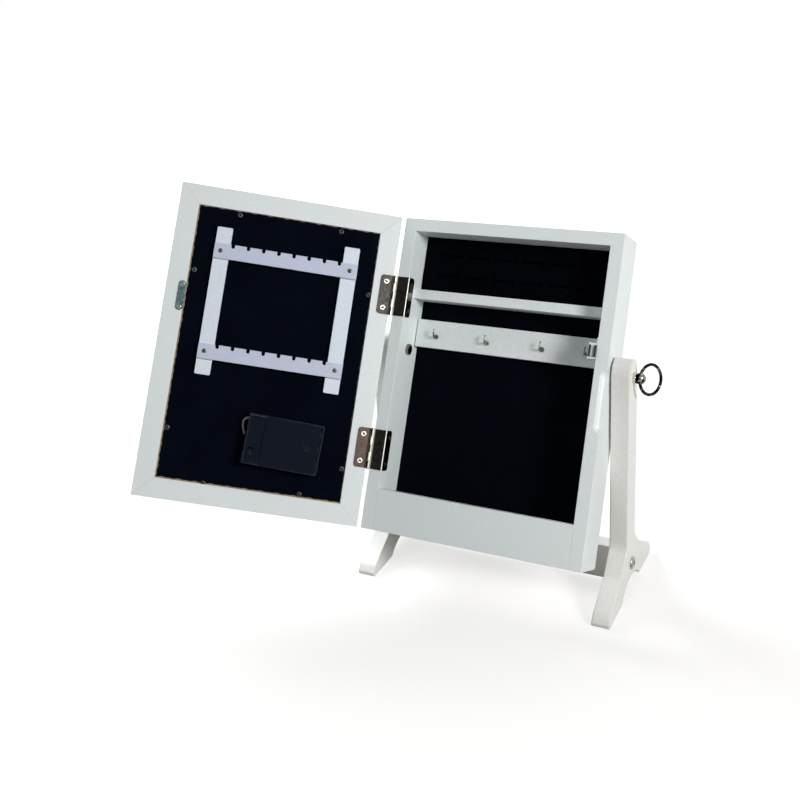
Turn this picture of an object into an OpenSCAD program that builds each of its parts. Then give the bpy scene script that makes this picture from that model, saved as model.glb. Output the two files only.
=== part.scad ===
// Table-top tilting mirror cabinet. A shallow jewellery case leans back on two pivots
// between the uprights of a stand. Its mirror door hinges on the left and carries lights,
// an earring rack and a battery box on its felt-lined inner side.
// Frame: X to the right, Y to the back, Z up; the origin is on the floor, under the pivots.

/* [Pose] */
// Lean of the case from upright, in degrees
tilt = 26; // [14:1:42]
// Opening angle of the door, in degrees
door_open = 148.8; // [0:0.4:149.2]
// Turn of the pull knobs about the pivot line, in degrees
knob_turn = 21.3; // [0:0.1:90]
// Swing of each pull ring from straight out towards the back, in degrees
ring_swing = 60.3; // [0:0.1:88]

/* [Case] */
// Outer width of the case
case_w = 215; // [205:1:225]
// Height of the case and of its door
case_h = 300; // [295:1:315]
// Depth of the case boards, front to back
case_d = 46; // [44:1:54]
// Thickness of the case boards
board_t = 12; // [10:0.5:12.5]
// Height of the front rail that closes the well at the bottom
front_rail_h = 39; // [30:1:42]
// Radius of the rounded bottom back corner of the case
back_round = 3; // [2:1:9]
// Thickness of the back panel
back_t = 3.5; // [3:0.5:5]
// Thickness of the felt on the back panel
felt_t = 0.7; // [0.5:0.1:1]
// Height of the shelf's underside above the bottom of the case
shelf_z = 224.6; // [215:0.1:228]
// Thickness of the shelf
shelf_t = 9.3; // [6:0.1:10]
// Depth of the shelf, measured forward from the felt
shelf_d = 23; // [18:0.5:26]
// Thickness of the ring cushion above the shelf
cushion_t = 12.3; // [10:0.1:14]
// Width of the ring cushion's slits
slit_w = 0.8; // [0.6:0.1:1.2]
// Depth of the ring cushion's slits
slit_deep = 7; // [4:0.5:9]
// Height of the hook rail's lower edge above the bottom of the case
hook_rail_z = 179.3; // [170:0.1:185]
// Height of the hook rail
hook_rail_h = 27; // [20:0.5:30]
// Thickness of the hook rail
hook_rail_t = 7.8; // [6:0.1:9]
// Wire diameter of the cup hooks
hook_wire = 1.3; // [1:0.1:1.6]
// Radius of the cup hooks' bend
hook_bend = 2.4; // [2:0.1:3]

/* [Stand] */
// Thickness of the uprights
post_t = 16.5; // [14:0.5:20]
// Width of the uprights above the legs
post_w = 26; // [24:0.5:28]
// Height of the pivots above the floor
pivot_z = 215.2; // [212:0.2:222]
// Height of the uprights
post_h = 232; // [230:0.5:242]
// Highest point of the arch under each foot
arch_h = 13; // [10:0.5:15]
// Radius of the arch under each foot
arch_r = 44; // [40:1:48]
// Height of the stretcher
stretcher_h = 34; // [28:0.5:36]
// Thickness of the stretcher
stretcher_t = 15.5; // [12:0.5:15.5]
// Diameter of the stretcher bolts' heads
bolt_head_d = 12.6; // [10:0.1:14]
// Diameter of the stretcher bolts' shanks
bolt_d = 6; // [5:0.5:7]

/* [Pivots and pulls] */
// Thickness of the spacer washers between case and stand
washer_t = 2; // [1.5:0.1:3]
// Diameter of the pivot shafts
shaft_d = 6; // [5:0.1:6.5]
// Diameter of the knob balls
ball_d = 10.7; // [10:0.1:12]
// Radius of the pull rings, to the middle of the wire
ring_r = 13.5; // [12:0.1:16]
// Wire diameter of the pull rings
ring_wire = 2.9; // [2.4:0.1:3.2]
// Diameter of the nuts on the case's inner walls
nut_d = 10.7; // [10:0.1:14]

/* [Door] */
// Width of the door frame's mouldings
frame_w = 19; // [17:0.5:20]
// Thickness of the door
door_t = 12.5; // [11.5:0.1:12.5]
// Thickness of the mirror glass
glass_t = 3; // [2:0.1:3]
// Depth of the felt below the frame's inner face
felt_sunk = 1.6; // [1:0.1:2]
// Thickness of the light strips
led_t = 1.6; // [1:0.1:2]
// Diameter of the lamp lead
lead_d = 2.2; // [1.8:0.1:2.2]

/* [Hinges and catch] */
// Height of each hinge
hinge_l = 38; // [34:1:44]
// Thickness of the hinge leaves
leaf_t = 1.1; // [0.8:0.1:1.2]
// Diameter of the hinge barrels
barrel_d = 3.8; // [3.4:0.1:3.8]
// Diameter of the hinge pins
hinge_pin_d = 1.8; // [1.4:0.1:2]
// Width of the catch body
catch_w = 8; // [7:0.1:9]
// Height of the catch body
catch_h = 14.6; // [12:0.1:18]

/* [Earring rack] */
// Width of the rack's two standing bars
bar_w = 14.8; // [12:0.1:16]
// Height of the rack's two notched rails
notched_h = 14.4; // [12:0.1:18]
// Thickness of the rack's bars and rails
rack_t = 4; // [3:0.1:5]
// Width of the notches
notch_w = 3.5; // [2.4:0.1:4]
// Depth of the notches
notch_deep = 3.6; // [3:0.1:5]

/* [Battery box] */
// Length of the battery box along the door's width
box_l = 71.4; // [71:0.1:75]
// Height of the battery box along the door's height
box_h = 46.7; // [46.6:0.1:48]
// Height of the battery box over the felt
box_t = 17.8; // [17.6:0.1:19]
// Wall thickness of the battery box
box_wall = 1.4; // [1.3:0.05:1.5]

/* [Hidden] */
$fn = 48;
eps = 0.01;
run_fit = 0.1;          // a turning shaft's bore is this much wider than the shaft
slide_fit = 0.2;        // room round a sliding or rising piece
door_gap = 0.2;         // the door is this much narrower than the case on each side

// case, in its own upright frame: X as the world's, Y to the back, Z up, bottom front at 0
inner_x = case_w / 2 - board_t;
felt_y = case_d - back_t - felt_t;
shelf_top = shelf_z + shelf_t;
pivot_y = 20.5;
pivot_up = 174.4;
cushion_y = felt_y - cushion_t;
hook_y = felt_y - hook_rail_t;
hook_up = 190.5;
hook_reach = 8;
hook_x = [22.3 - inner_x, -20.5, 34.5, inner_x - 18.3];
slit_l = 20.7;
slit_x0 = 17 - inner_x;
slit_pitch = (2 * inner_x - 30.8 - slit_l) / 5;
slit_cut = 5;
cushion_h = case_h - board_t - shelf_top;
slit_rows = [0.2976 * cushion_h, 0.6728 * cushion_h];
catch_up = 192.6;
catch_d = 12;

// door, in its own frame: X from the hinge edge, Y up, Z out of the inner face
door_w = case_w - 2 * door_gap;
hinge_gap = 2 * leaf_t + 0.2;
pin_x = -case_w / 2 - 1.6;
pin_y = -hinge_gap / 2;
felt_z = -felt_sunk;
board_z = felt_z - 0.8;
ledge_z = board_z - 2.5;
glass_z = ledge_z - 4;
tongue = 7;
led_w = 8;
led_in = frame_w + 11;
led_end = frame_w + 15;
led_x = door_w - led_in - led_w;
hinge_ups = [75, case_h - 77];

// stand
post_x = case_w / 2 + washer_t;
outer_x = post_x + post_t;
stretcher_y = 12.5;
stretcher_z = 8.8;
bolt_y = stretcher_y - stretcher_t / 2;
bolt_z = stretcher_z + stretcher_h / 2;
ball_x = outer_x + 5.8;
collar_l = 2.6;

// outline of an upright's foot, front then back, each corner as [Y, Z, radius]
knee_front = 50;
knee_back = 53;
foot_front = [[-32.5, 28.2, 12], [-67, 9.2, 18], [-71.3, 3, 2.6], [-70.8, 0, 0.6]];
foot_back = [[72.4, 0, 1.4], [75, 5, 3], [69.5, 12.8, 4], [28.2, 37.2, 12]];

// rack and box
box_x = door_w / 2 - 25.7;
box_y = frame_w + 48.1;
rack_x = frame_w + 17.4;
rack_span = door_w - 2 * frame_w - 38.4;
rack_y = [box_y + box_h / 2 + 45.15, case_h - 68];
rack_low_end = 15;
rack_top_end = 16;
notches = 8;
notch_in = [18, 17.6];
notch_x0 = rack_x + notch_in[0];
notch_pitch = (rack_span - notch_in[0] - notch_in[1]) / (notches - 1);
box_turn = 2;
cell_gap = 0.1;
cell_over = 0.3;
spring_room = 2.8;
cap_room = 0.9;
end_bay = 15.8;
lid_t = 1.6;
lid_z = box_t - lid_t;
bay_x0 = -box_l / 2 + box_wall;
bay_x1 = box_l / 2 - end_bay;
cell_pitch = (box_h - 2 * box_wall - cell_gap) / 3;
cell_d = min(cell_pitch - cell_gap, lid_z - box_wall - cell_over);
cell_x0 = bay_x0 + spring_room;
cell_l = bay_x1 - cap_room - cell_x0;
slot_x = box_l / 2 - 6.95;
slot_y = -11.75;
slot_l = 8.1;
slot_w = 4.2;

// slanted thumb grips in the lid, each as [X, Y, length]
thumb_grips = [[-20.7, -0.2, 4.9], [-22.9, 0.2, 6.3], [-24.6, 2, 2.6]];

// the lamp lead: its start in the box's wall, and its bends over the felt and through the
// panel from there, each as [across, up the door, out of the felt]
lead_out = [box_l / 2 - 2.4, box_h / 2 - 3.65, 4.6];
lead_bends = [
    [0, 0, 4.6],
    [1.7, 0, 4.6],
    [3.3, -0.2, 4.6],
    [4.9, -1, 4.2],
    [6, -2.6, 3.6],
    [6.4, -4.8, 2.8],
    [6.3, -7.2, 2.1],
    [5.9, -9.6, 1.6],
    [5.2, -11.8, 1.3],
    [4.5, -13.7, 0.8],
    [4.1, -14.9, -0.2],
    [4, -15.4, -1.4],
    [4.1, -15.6, -2.6],
    [4.7, -15.8, -3.8],
    [5.9, -15.8, -4.4],
    [8.1, -15.8, -4.5]
];
lead_run = [box_x + lead_out.x + 8.1, box_y + lead_out.y - 15.8, felt_z - 4.5];
lead_hole = [box_x + lead_out.x + 4.1, box_y + lead_out.y - 15.4];
lead_route = concat(
    [for (p = lead_bends) [box_x + lead_out.x + p.x, box_y + lead_out.y + p.y, felt_z + p.z]],
    [for (k = [1 : 6]) [lead_run.x + (led_x - lead_run.x) * k / 6, lead_run.y, lead_run.z]]);

// Paint, felt and metal colours
c_case = [0.90, 0.91, 0.92];
c_stand = [0.90, 0.89, 0.86];
c_felt = [0.03, 0.04, 0.07];
c_dark = [0.18, 0.17, 0.17];
c_bright = [0.75, 0.74, 0.72];
c_ring = [0.07, 0.07, 0.08];
c_rail = [0.78, 0.80, 0.87];

// Unit vector along v
function unit(v) = v / norm(v);

// Points of an arc of radius r that rounds the corner b between a and c
function corner(a, b, c, r, n) =
    r == 0 ? [b] :
    let (u = unit(a - b), w = unit(c - b), half = acos(u * w) / 2)
    let (o = b + unit(u + w) * r / sin(half), turn = 180 - 2 * half)
    let (s = unit(b + u * r / tan(half) - o), e = unit(b + w * r / tan(half) - o))
    [for (i = [0 : n]) o + r * (sin((1 - i / n) * turn) * s + sin(i / n * turn) * e) / sin(turn)];

// Outline through points [x, y, r], each corner rounded by its own radius
function rounded(p, n = 8) =
    let (k = len(p))
    [for (i = [0 : k - 1])
        each corner([p[(i + k - 1) % k].x, p[(i + k - 1) % k].y], [p[i].x, p[i].y],
            [p[(i + 1) % k].x, p[(i + 1) % k].y], p[i].z, n)];

// Rectangle from (x0, y0) to (x1, y1) with corners of radius r
function round_box(x0, y0, x1, y1, r) =
    rounded([[x0, y0, r], [x1, y0, r], [x1, y1, r], [x0, y1, r]]);

// Case frame, leaned back about the pivot line
module at_case() {
    translate([0, 0, pivot_z])
        rotate([-tilt, 0, 0])
            translate([0, -pivot_y, -pivot_up])
                children();
}

// Door frame: X from the hinge edge, Y up, Z out of the inner face
module at_door() {
    at_case()
        translate([pin_x, pin_y, 0])
            rotate([0, 0, -door_open])
                translate([-pin_x - door_w / 2, -pin_y - hinge_gap, 0])
                    rotate([90, 0, 0])
                        mirror([0, 0, 1])
                            children();
}

// Battery box frame: X and Y along the felt from the box's middle, Z out of the felt
module at_box() {
    at_door()
        translate([box_x, box_y, felt_z])
            rotate([0, 0, box_turn])
                children();
}

// Right-hand pivot frame: X outwards along the pivot line
module at_pivot(side) {
    translate([0, 0, pivot_z])
        mirror([side < 0 ? 1 : 0, 0, 0])
            children();
}

// Block from the corner a to the corner b
module block(a, b) {
    translate(a)
        cube(b - a);
}

// Round bar along X from x0 to x1
module bar_x(x0, x1, d) {
    translate([x0, 0, 0])
        rotate([0, 90, 0])
            cylinder(h = x1 - x0, d = d);
}

// Stand

// Side outline of an upright: post, front leg and rear foot
module upright_outline() {
    polygon(rounded(concat(
        [[-post_w / 2, post_h - post_w / 2, 0], [-post_w / 2, knee_front, 9]],
        foot_front,
        foot_back,
        [[post_w / 2, knee_back, 9], [post_w / 2, post_h - post_w / 2, 0]])));
}

// Upright with a round top, an arch under the foot, a pivot bore and a bolt hole
module upright(side) {
    mirror([side < 0 ? 1 : 0, 0, 0])
        translate([post_x, 0, 0])
            difference() {
                union() {
                    rotate([90, 0, 90])
                        linear_extrude(post_t)
                            upright_outline();
                    translate([0, 0, post_h - post_w / 2])
                        bar_x(0, post_t, post_w);
                }
                translate([0, 1.3, arch_h - arch_r])
                    rotate([0, 90, 0])
                        translate([0, 0, -1])
                            cylinder(h = post_t + 2, r = arch_r, $fn = 96);
                translate([0, 0, pivot_z])
                    bar_x(-1, post_t + 1, shaft_d + run_fit);
                translate([0, bolt_y, bolt_z])
                    bar_x(-1, post_t + 1, bolt_d + run_fit);
            }
}

module upright_right() {
    color(c_stand)
        upright(1);
}

module upright_left() {
    color(c_stand)
        upright(-1);
}

// Board between the uprights, drilled at both ends for the bolts
module stretcher() {
    color(c_stand)
        difference() {
            block([-post_x, stretcher_y - stretcher_t, stretcher_z],
                [post_x, stretcher_y, stretcher_z + stretcher_h]);
            for (s = [-1, 1])
                translate([s * post_x, bolt_y, bolt_z])
                    bar_x(-31, 31, bolt_d + run_fit);
        }
}

// Low domed head with a hexagon socket, and a shank into the stretcher
module stretcher_bolt(side) {
    mirror([side < 0 ? 1 : 0, 0, 0])
        translate([outer_x, bolt_y, bolt_z])
            difference() {
                union() {
                    bar_x(-post_t - 28, 0.5, bolt_d);
                    rotate([0, 90, 0])
                        rotate_extrude()
                            polygon([[0, 0], [bolt_head_d / 2, 0], [bolt_head_d / 2, 0.8],
                                [bolt_head_d / 2 - 0.5, 1.5], [bolt_head_d / 2 - 1.6, 2.1], [0, 2.3]]);
                }
                rotate([0, 90, 0])
                    translate([0, 0, -1.2])
                        cylinder(h = 4, d = 4.6, $fn = 6);
            }
}

module stretcher_bolt_right() {
    color(c_bright)
        stretcher_bolt(1);
}

module stretcher_bolt_left() {
    color(c_bright)
        stretcher_bolt(-1);
}

// Pivots and pulls

// Radius of the ball's cross hole at a distance s from the ball's middle
function hole_r(s) = ring_wire / 2 + 0.1 + s * s / (2 * ring_r);

// Ball with a flared cross hole for the ring, on a shaft that runs to the inner nut
module knob() {
    translate([ball_x, 0, 0])
        rotate([-knob_turn, 0, 0])
            difference() {
                union() {
                    sphere(d = ball_d);
                    bar_x(inner_x - 3.2 - ball_x, -1, shaft_d);
                }
                rotate_extrude()
                    polygon(concat([[0, -6], [0, 6]],
                        [for (i = [6 : -1 : -6]) [hole_r(i), i]]));
            }
}

module knob_right() {
    color(c_bright)
        at_pivot(1)
            knob();
}

module knob_left() {
    color(c_bright)
        at_pivot(-1)
            knob();
}

// Cupped collar between the ball and the upright
module collar() {
    difference() {
        translate([outer_x, 0, 0])
            bar_x(0, collar_l, ball_d - 0.6);
        translate([ball_x, 0, 0])
            sphere(d = ball_d + run_fit);
        bar_x(outer_x - 1, outer_x + collar_l + 1, shaft_d + run_fit);
    }
}

module collar_right() {
    color(c_bright)
        at_pivot(1)
            collar();
}

module collar_left() {
    color(c_bright)
        at_pivot(-1)
            collar();
}

// Ring through the ball's cross hole, swung towards the back
module ring() {
    translate([ball_x, 0, 0])
        rotate([-knob_turn, 0, 0])
            rotate([0, 0, ring_swing])
                translate([ring_r, 0, 0])
                    rotate([90, 0, 0])
                        rotate_extrude($fn = 72)
                            translate([ring_r, 0, 0])
                                circle(d = ring_wire, $fn = 32);
}

module ring_right() {
    color(c_ring)
        at_pivot(1)
            ring();
}

module ring_left() {
    color(c_ring)
        at_pivot(-1)
            ring();
}

// Round nut on the case's inner wall
module pivot_nut() {
    difference() {
        translate([inner_x - 2.5, 0, 0])
            bar_x(0, 2.5, nut_d);
        bar_x(inner_x - 4, inner_x + 1, shaft_d + run_fit);
    }
}

module pivot_nut_right() {
    color(c_bright)
        at_pivot(1)
            pivot_nut();
}

module pivot_nut_left() {
    color(c_bright)
        at_pivot(-1)
            pivot_nut();
}

// Spacer washer between the case and the upright
module pivot_washer() {
    difference() {
        translate([case_w / 2, 0, 0])
            bar_x(0, washer_t, 14);
        bar_x(case_w / 2 - 1, post_x + 1, shaft_d + run_fit);
    }
}

module pivot_washer_right() {
    color(c_bright)
        at_pivot(1)
            pivot_washer();
}

module pivot_washer_left() {
    color(c_bright)
        at_pivot(-1)
            pivot_washer();
}

// Case

// Space outside the rounded bottom back corner, from x0 to x1
module back_corner(x0, x1) {
    translate([x0, 0, 0])
        rotate([90, 0, 90])
            linear_extrude(x1 - x0)
                difference() {
                    translate([case_d - back_round, -1])
                        square([back_round + 1, back_round + 1]);
                    translate([case_d - back_round, back_round])
                        circle(r = back_round);
                }
}

// Left-hand side board, mitred into the top board and bored for the pivot
module side_board() {
    difference() {
        translate([0, case_d, 0])
            rotate([90, 0, 0])
                linear_extrude(case_d)
                    polygon([[-case_w / 2, 0], [-inner_x, 0],
                        [-inner_x, case_h - board_t], [-case_w / 2, case_h]]);
        back_corner(-case_w / 2 - 1, -inner_x + 1);
        translate([0, pivot_y, pivot_up])
            bar_x(-case_w / 2 - 1, -inner_x + 1, shaft_d + run_fit);
    }
}

module side_left() {
    color(c_case)
        at_case()
            side_board();
}

// Right-hand side board with a finger scoop in its front outer edge
module side_right() {
    color(c_case)
        at_case()
            difference() {
                mirror([1, 0, 0])
                    side_board();
                translate([case_w / 2 + 1.1, -3.5, 127.4]) {
                    cylinder(h = 43.2, r = 8);
                    sphere(r = 8);
                    translate([0, 0, 43.2])
                        sphere(r = 8);
                }
            }
}

module top_board() {
    color(c_case)
        at_case()
            translate([0, case_d, 0])
                rotate([90, 0, 0])
                    linear_extrude(case_d)
                        polygon([[-case_w / 2, case_h], [-inner_x, case_h - board_t],
                            [inner_x, case_h - board_t], [case_w / 2, case_h]]);
}

module front_rail() {
    color(c_case)
        at_case()
            block([-inner_x, 0, 0], [inner_x, board_t, front_rail_h]);
}

module bottom_board() {
    color(c_case)
        at_case()
            difference() {
                block([-inner_x, board_t, 0], [inner_x, case_d - back_t, board_t]);
                back_corner(-inner_x - 1, inner_x + 1);
            }
}

module back_board() {
    color(c_case)
        at_case()
            block([-inner_x, case_d - back_t, back_round], [inner_x, case_d, case_h - board_t]);
}

module back_felt() {
    color(c_felt)
        at_case()
            block([-inner_x, felt_y, board_t], [inner_x, case_d - back_t, case_h - board_t]);
}

// Foam cushion with two rows of slits; each slit has a short cut down at both ends
module ring_cushion() {
    color(c_felt)
        at_case()
            difference() {
                block([-inner_x, cushion_y, shelf_top], [inner_x, felt_y, case_h - board_t]);
                for (row = slit_rows, k = [0 : 5]) {
                    translate([slit_x0 + k * slit_pitch, cushion_y - 1, shelf_top + row]) {
                        cube([slit_l, slit_deep + 1, slit_w]);
                        for (x = [0, slit_l - slit_w])
                            translate([x, 0, (slit_w - slit_cut) / 2])
                                cube([slit_w, slit_deep + 1, slit_cut]);
                    }
                }
            }
}

module shelf() {
    color(c_case)
        at_case()
            block([-inner_x, felt_y - shelf_d, shelf_z], [inner_x, felt_y, shelf_top]);
}

module hook_rail() {
    color(c_rail)
        at_case()
            block([-inner_x + 1.1, hook_y, hook_rail_z], [inner_x - 1.1, felt_y, hook_rail_z + hook_rail_h]);
}

// Cup hook: flange, shank, a quarter turn up and a straight tip that leans in
module hook(i) {
    at_case()
        translate([hook_x[i], hook_y, hook_up]) {
            rotate([90, 0, 0]) {
                cylinder(h = 0.9, d = 5);
                cylinder(h = hook_reach - hook_bend, d = hook_wire, $fn = 24);
            }
            translate([0, hook_bend - hook_reach, hook_bend])
                rotate([0, -90, 0])
                    rotate([0, 0, 180])
                        rotate_extrude(angle = 90)
                            translate([hook_bend, 0])
                                circle(d = hook_wire, $fn = 24);
            translate([0, -hook_reach, hook_bend]) {
                sphere(d = hook_wire, $fn = 24);
                rotate([-8, 0, 0]) {
                    cylinder(h = 4, d = hook_wire, $fn = 24);
                    translate([0, 0, 4])
                        sphere(d = hook_wire + 0.3, $fn = 24);
                }
            }
        }
}

module hook_1() {
    color(c_bright)
        hook(0);
}

module hook_2() {
    color(c_bright)
        hook(1);
}

module hook_3() {
    color(c_bright)
        hook(2);
}

module hook_4() {
    color(c_bright)
        hook(3);
}

// Catch and hinges

// Plastic body of the magnetic catch, with a screw ear above and below and two slots
module catch_body() {
    color([0.86, 0.87, 0.88])
        at_case()
            difference() {
                union() {
                    block([inner_x - catch_w, 0.5, catch_up - catch_h / 2],
                        [inner_x, 0.5 + catch_d, catch_up + catch_h / 2]);
                    translate([inner_x - 1.8, 6.5, 0])
                        rotate([90, 0, 90])
                            linear_extrude(1.8)
                                polygon(round_box(-3.6, catch_up - catch_h / 2 - 5.8,
                                    3.6, catch_up + catch_h / 2 + 5.8, 3));
                }
                for (k = [-1, 1])
                    catch_slot(k, 0.1);
            }
}

// Block of one pole plate, grown by a margin on its faces
module catch_slot(k, margin) {
    translate([inner_x - catch_w / 2 + k * (catch_w / 2 - 1.6), -1.2, catch_up])
        translate([-0.6 - margin, margin > 0 ? -1 : 0, -catch_h / 2 + 2 - margin])
            cube([1.2 + 2 * margin, margin > 0 ? 10.2 : 9.2, catch_h - 4 + 2 * margin]);
}

module catch_pole_1() {
    color(c_dark)
        at_case()
            catch_slot(-1, 0);
}

module catch_pole_2() {
    color(c_dark)
        at_case()
            catch_slot(1, 0);
}

// Bottom of knuckle i of the five, above the hinge's lower end
function knuckle_z(i) = i * hinge_l / 5;

// Knuckles of one leaf: i from the list, on the pin line, each with a web to the leaf
module knuckles(list, web_y) {
    for (i = list)
        translate([0, 0, knuckle_z(i) + 0.1]) {
            cylinder(h = hinge_l / 5 - 0.2, d = barrel_d);
            translate([0, web_y, 0])
                cube([2.6, leaf_t, hinge_l / 5 - 0.2]);
        }
}

// Case leaf: across the front edge of the side board, then bent onto its inner wall
module case_leaf(up) {
    at_case()
        translate([pin_x, pin_y, up - hinge_l / 2])
            difference() {
                union() {
                    knuckles([0, 2, 4], -leaf_t - pin_y);
                    block([2.1, -leaf_t - pin_y, 0], [board_t + 1.6 + leaf_t, -pin_y, hinge_l]);
                    translate([board_t + 1.6, 0, 0])
                        rotate([90, 0, 90])
                            linear_extrude(leaf_t)
                                polygon(rounded([[-pin_y - leaf_t, 0, 0], [-pin_y + 11, 0, 3],
                                    [-pin_y + 11, hinge_l, 3], [-pin_y - leaf_t, hinge_l, 0]]));
                }
                translate([0, 0, -1])
                    cylinder(h = hinge_l + 2, d = hinge_pin_d);
            }
}

// Door leaf on the door's inner face, in the closed door's place
module door_leaf(up) {
    at_case()
        translate([pin_x, pin_y, up - hinge_l / 2])
            rotate([0, 0, -door_open])
                difference() {
                    union() {
                        knuckles([1, 3], pin_y);
                        translate([0, pin_y + leaf_t, 0])
                            rotate([90, 0, 0])
                                linear_extrude(leaf_t)
                                    polygon(rounded([[2.1, 0, 0], [13.8, 0, 3],
                                        [13.8, hinge_l, 3], [2.1, hinge_l, 0]]));
                    }
                    translate([0, 0, -1])
                        cylinder(h = hinge_l + 2, d = hinge_pin_d + run_fit);
                }
}

// Hinge pin with flat heads over both ends of the barrel
module hinge_pin(up) {
    at_case()
        translate([pin_x, pin_y, up - hinge_l / 2]) {
            cylinder(h = hinge_l, d = hinge_pin_d);
            translate([0, 0, -0.7])
                cylinder(h = 0.8, d = barrel_d - 0.8);
            translate([0, 0, hinge_l - 0.1])
                cylinder(h = 0.8, d = barrel_d - 0.8);
        }
}

module hinge_top_case_leaf() {
    color(c_dark)
        case_leaf(hinge_ups[1]);
}

module hinge_top_door_leaf() {
    color(c_dark)
        door_leaf(hinge_ups[1]);
}

module hinge_top_pin() {
    color(c_bright)
        hinge_pin(hinge_ups[1]);
}

module hinge_low_case_leaf() {
    color(c_dark)
        case_leaf(hinge_ups[0]);
}

module hinge_low_door_leaf() {
    color(c_dark)
        door_leaf(hinge_ups[0]);
}

module hinge_low_pin() {
    color(c_bright)
        hinge_pin(hinge_ups[0]);
}

// Door

// Section of the frame moulding: across from the outer edge, and out of the inner face.
// The outer corner of the mirror side is bevelled, and a tongue carries panel and glass.
module moulding() {
    polygon([[0, 0], [frame_w, 0], [frame_w, ledge_z], [frame_w + tongue, ledge_z],
        [frame_w + tongue, glass_z], [frame_w, glass_z], [frame_w, -door_t],
        [10, -door_t], [0, -door_t / 2]]);
}

// Hinge-side moulding, mitred at both ends
module stile() {
    intersection() {
        rotate([-90, 0, 0])
            mirror([0, 1, 0])
                linear_extrude(case_h)
                    moulding();
        translate([0, 0, -door_t - 1])
            linear_extrude(door_t + 2)
                polygon([[0, 0], [30, 30], [30, case_h - 30], [0, case_h]]);
    }
}

// Bottom moulding, mitred at both ends
module cross_rail() {
    intersection() {
        translate([door_w, 0, 0])
            rotate([90, 0, -90])
                linear_extrude(door_w)
                    mirror([1, 0, 0])
                        moulding();
        translate([0, 0, -door_t - 1])
            linear_extrude(door_t + 2)
                polygon([[0, 0], [30, 30], [door_w - 30, 30], [door_w, 0]]);
    }
}

module door_stile_hinge() {
    color(c_case)
        at_door()
            stile();
}

module door_stile_free() {
    color(c_case)
        at_door()
            translate([door_w, 0, 0])
                mirror([1, 0, 0])
                    stile();
}

module door_rail_bottom() {
    color(c_case)
        at_door()
            cross_rail();
}

module door_rail_top() {
    color(c_case)
        at_door()
            translate([0, case_h, 0])
                mirror([0, 1, 0])
                    cross_rail();
}

// Glass set into the mirror side, against the tongue
module mirror_glass() {
    color([0.80, 0.84, 0.86])
        at_door()
            block([frame_w + 0.2, frame_w + 0.2, glass_z - glass_t],
                [door_w - frame_w - 0.2, case_h - frame_w - 0.2, glass_z]);
}

// Light strip on the panel's hidden side, from x0
module led_strip(x0) {
    block([x0, led_end, ledge_z - led_t], [x0 + led_w, case_h - led_end, ledge_z]);
}

module led_strip_hinge() {
    color([0.95, 0.94, 0.88])
        at_door()
            led_strip(led_in);
}

module led_strip_free() {
    color([0.95, 0.94, 0.88])
        at_door()
            led_strip(led_x);
}

// Fibreboard panel in the frame, with a hole for the lamp lead
module backing_board() {
    color([0.45, 0.34, 0.24])
        at_door()
            difference() {
                block([frame_w, frame_w, ledge_z], [door_w - frame_w, case_h - frame_w, board_z]);
                translate([lead_hole.x, lead_hole.y, ledge_z - 1])
                    cylinder(h = 5, d = lead_d + 1.4);
            }
}

// Felt on the panel
module backing_felt() {
    color(c_felt)
        at_door()
            difference() {
                block([frame_w, frame_w, board_z], [door_w - frame_w, case_h - frame_w, felt_z]);
                translate([lead_hole.x + 0.1, lead_hole.y + 0.7, board_z - 1])
                    cylinder(h = 3, d = lead_d + 2.3);
            }
}

// Standing bar of the earring rack, from x0
module rack_bar(x0) {
    translate([0, 0, felt_z])
        linear_extrude(rack_t)
            polygon(round_box(x0, rack_y[0] - rack_low_end,
                x0 + bar_w, rack_y[1] + notched_h + rack_top_end, 1.2));
}

module rack_bar_hinge() {
    color(c_case)
        at_door()
            rack_bar(rack_x);
}

module rack_bar_free() {
    color(c_case)
        at_door()
            rack_bar(rack_x + rack_span - bar_w);
}

// Notched rail across the bars, with its lower edge at y0
module rack_rail(y0) {
    difference() {
        block([rack_x, y0, felt_z + rack_t], [rack_x + rack_span, y0 + notched_h, felt_z + 2 * rack_t]);
        for (k = [0 : notches - 1])
            translate([notch_x0 + k * notch_pitch, y0 + notched_h - notch_deep + notch_w / 2,
                felt_z + rack_t - 1]) {
                cylinder(h = rack_t + 2, d = notch_w, $fn = 24);
                translate([-notch_w / 2, 0, 0])
                    cube([notch_w, notch_deep, rack_t + 2]);
            }
    }
}

module rack_rail_top() {
    color(c_rail)
        at_door()
            rack_rail(rack_y[1]);
}

module rack_rail_low() {
    color(c_rail)
        at_door()
            rack_rail(rack_y[0]);
}

// Steel plate on the free stile that meets the catch
module strike_plate() {
    color([0.62, 0.66, 0.64])
        at_door()
            translate([door_w / 2 + inner_x - catch_w / 2, catch_up - 0.8, 0])
                linear_extrude(1.2)
                    polygon(round_box(-3.5, -14.2, 3.5, 14.2, 3.4));
}

// Battery box

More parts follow.
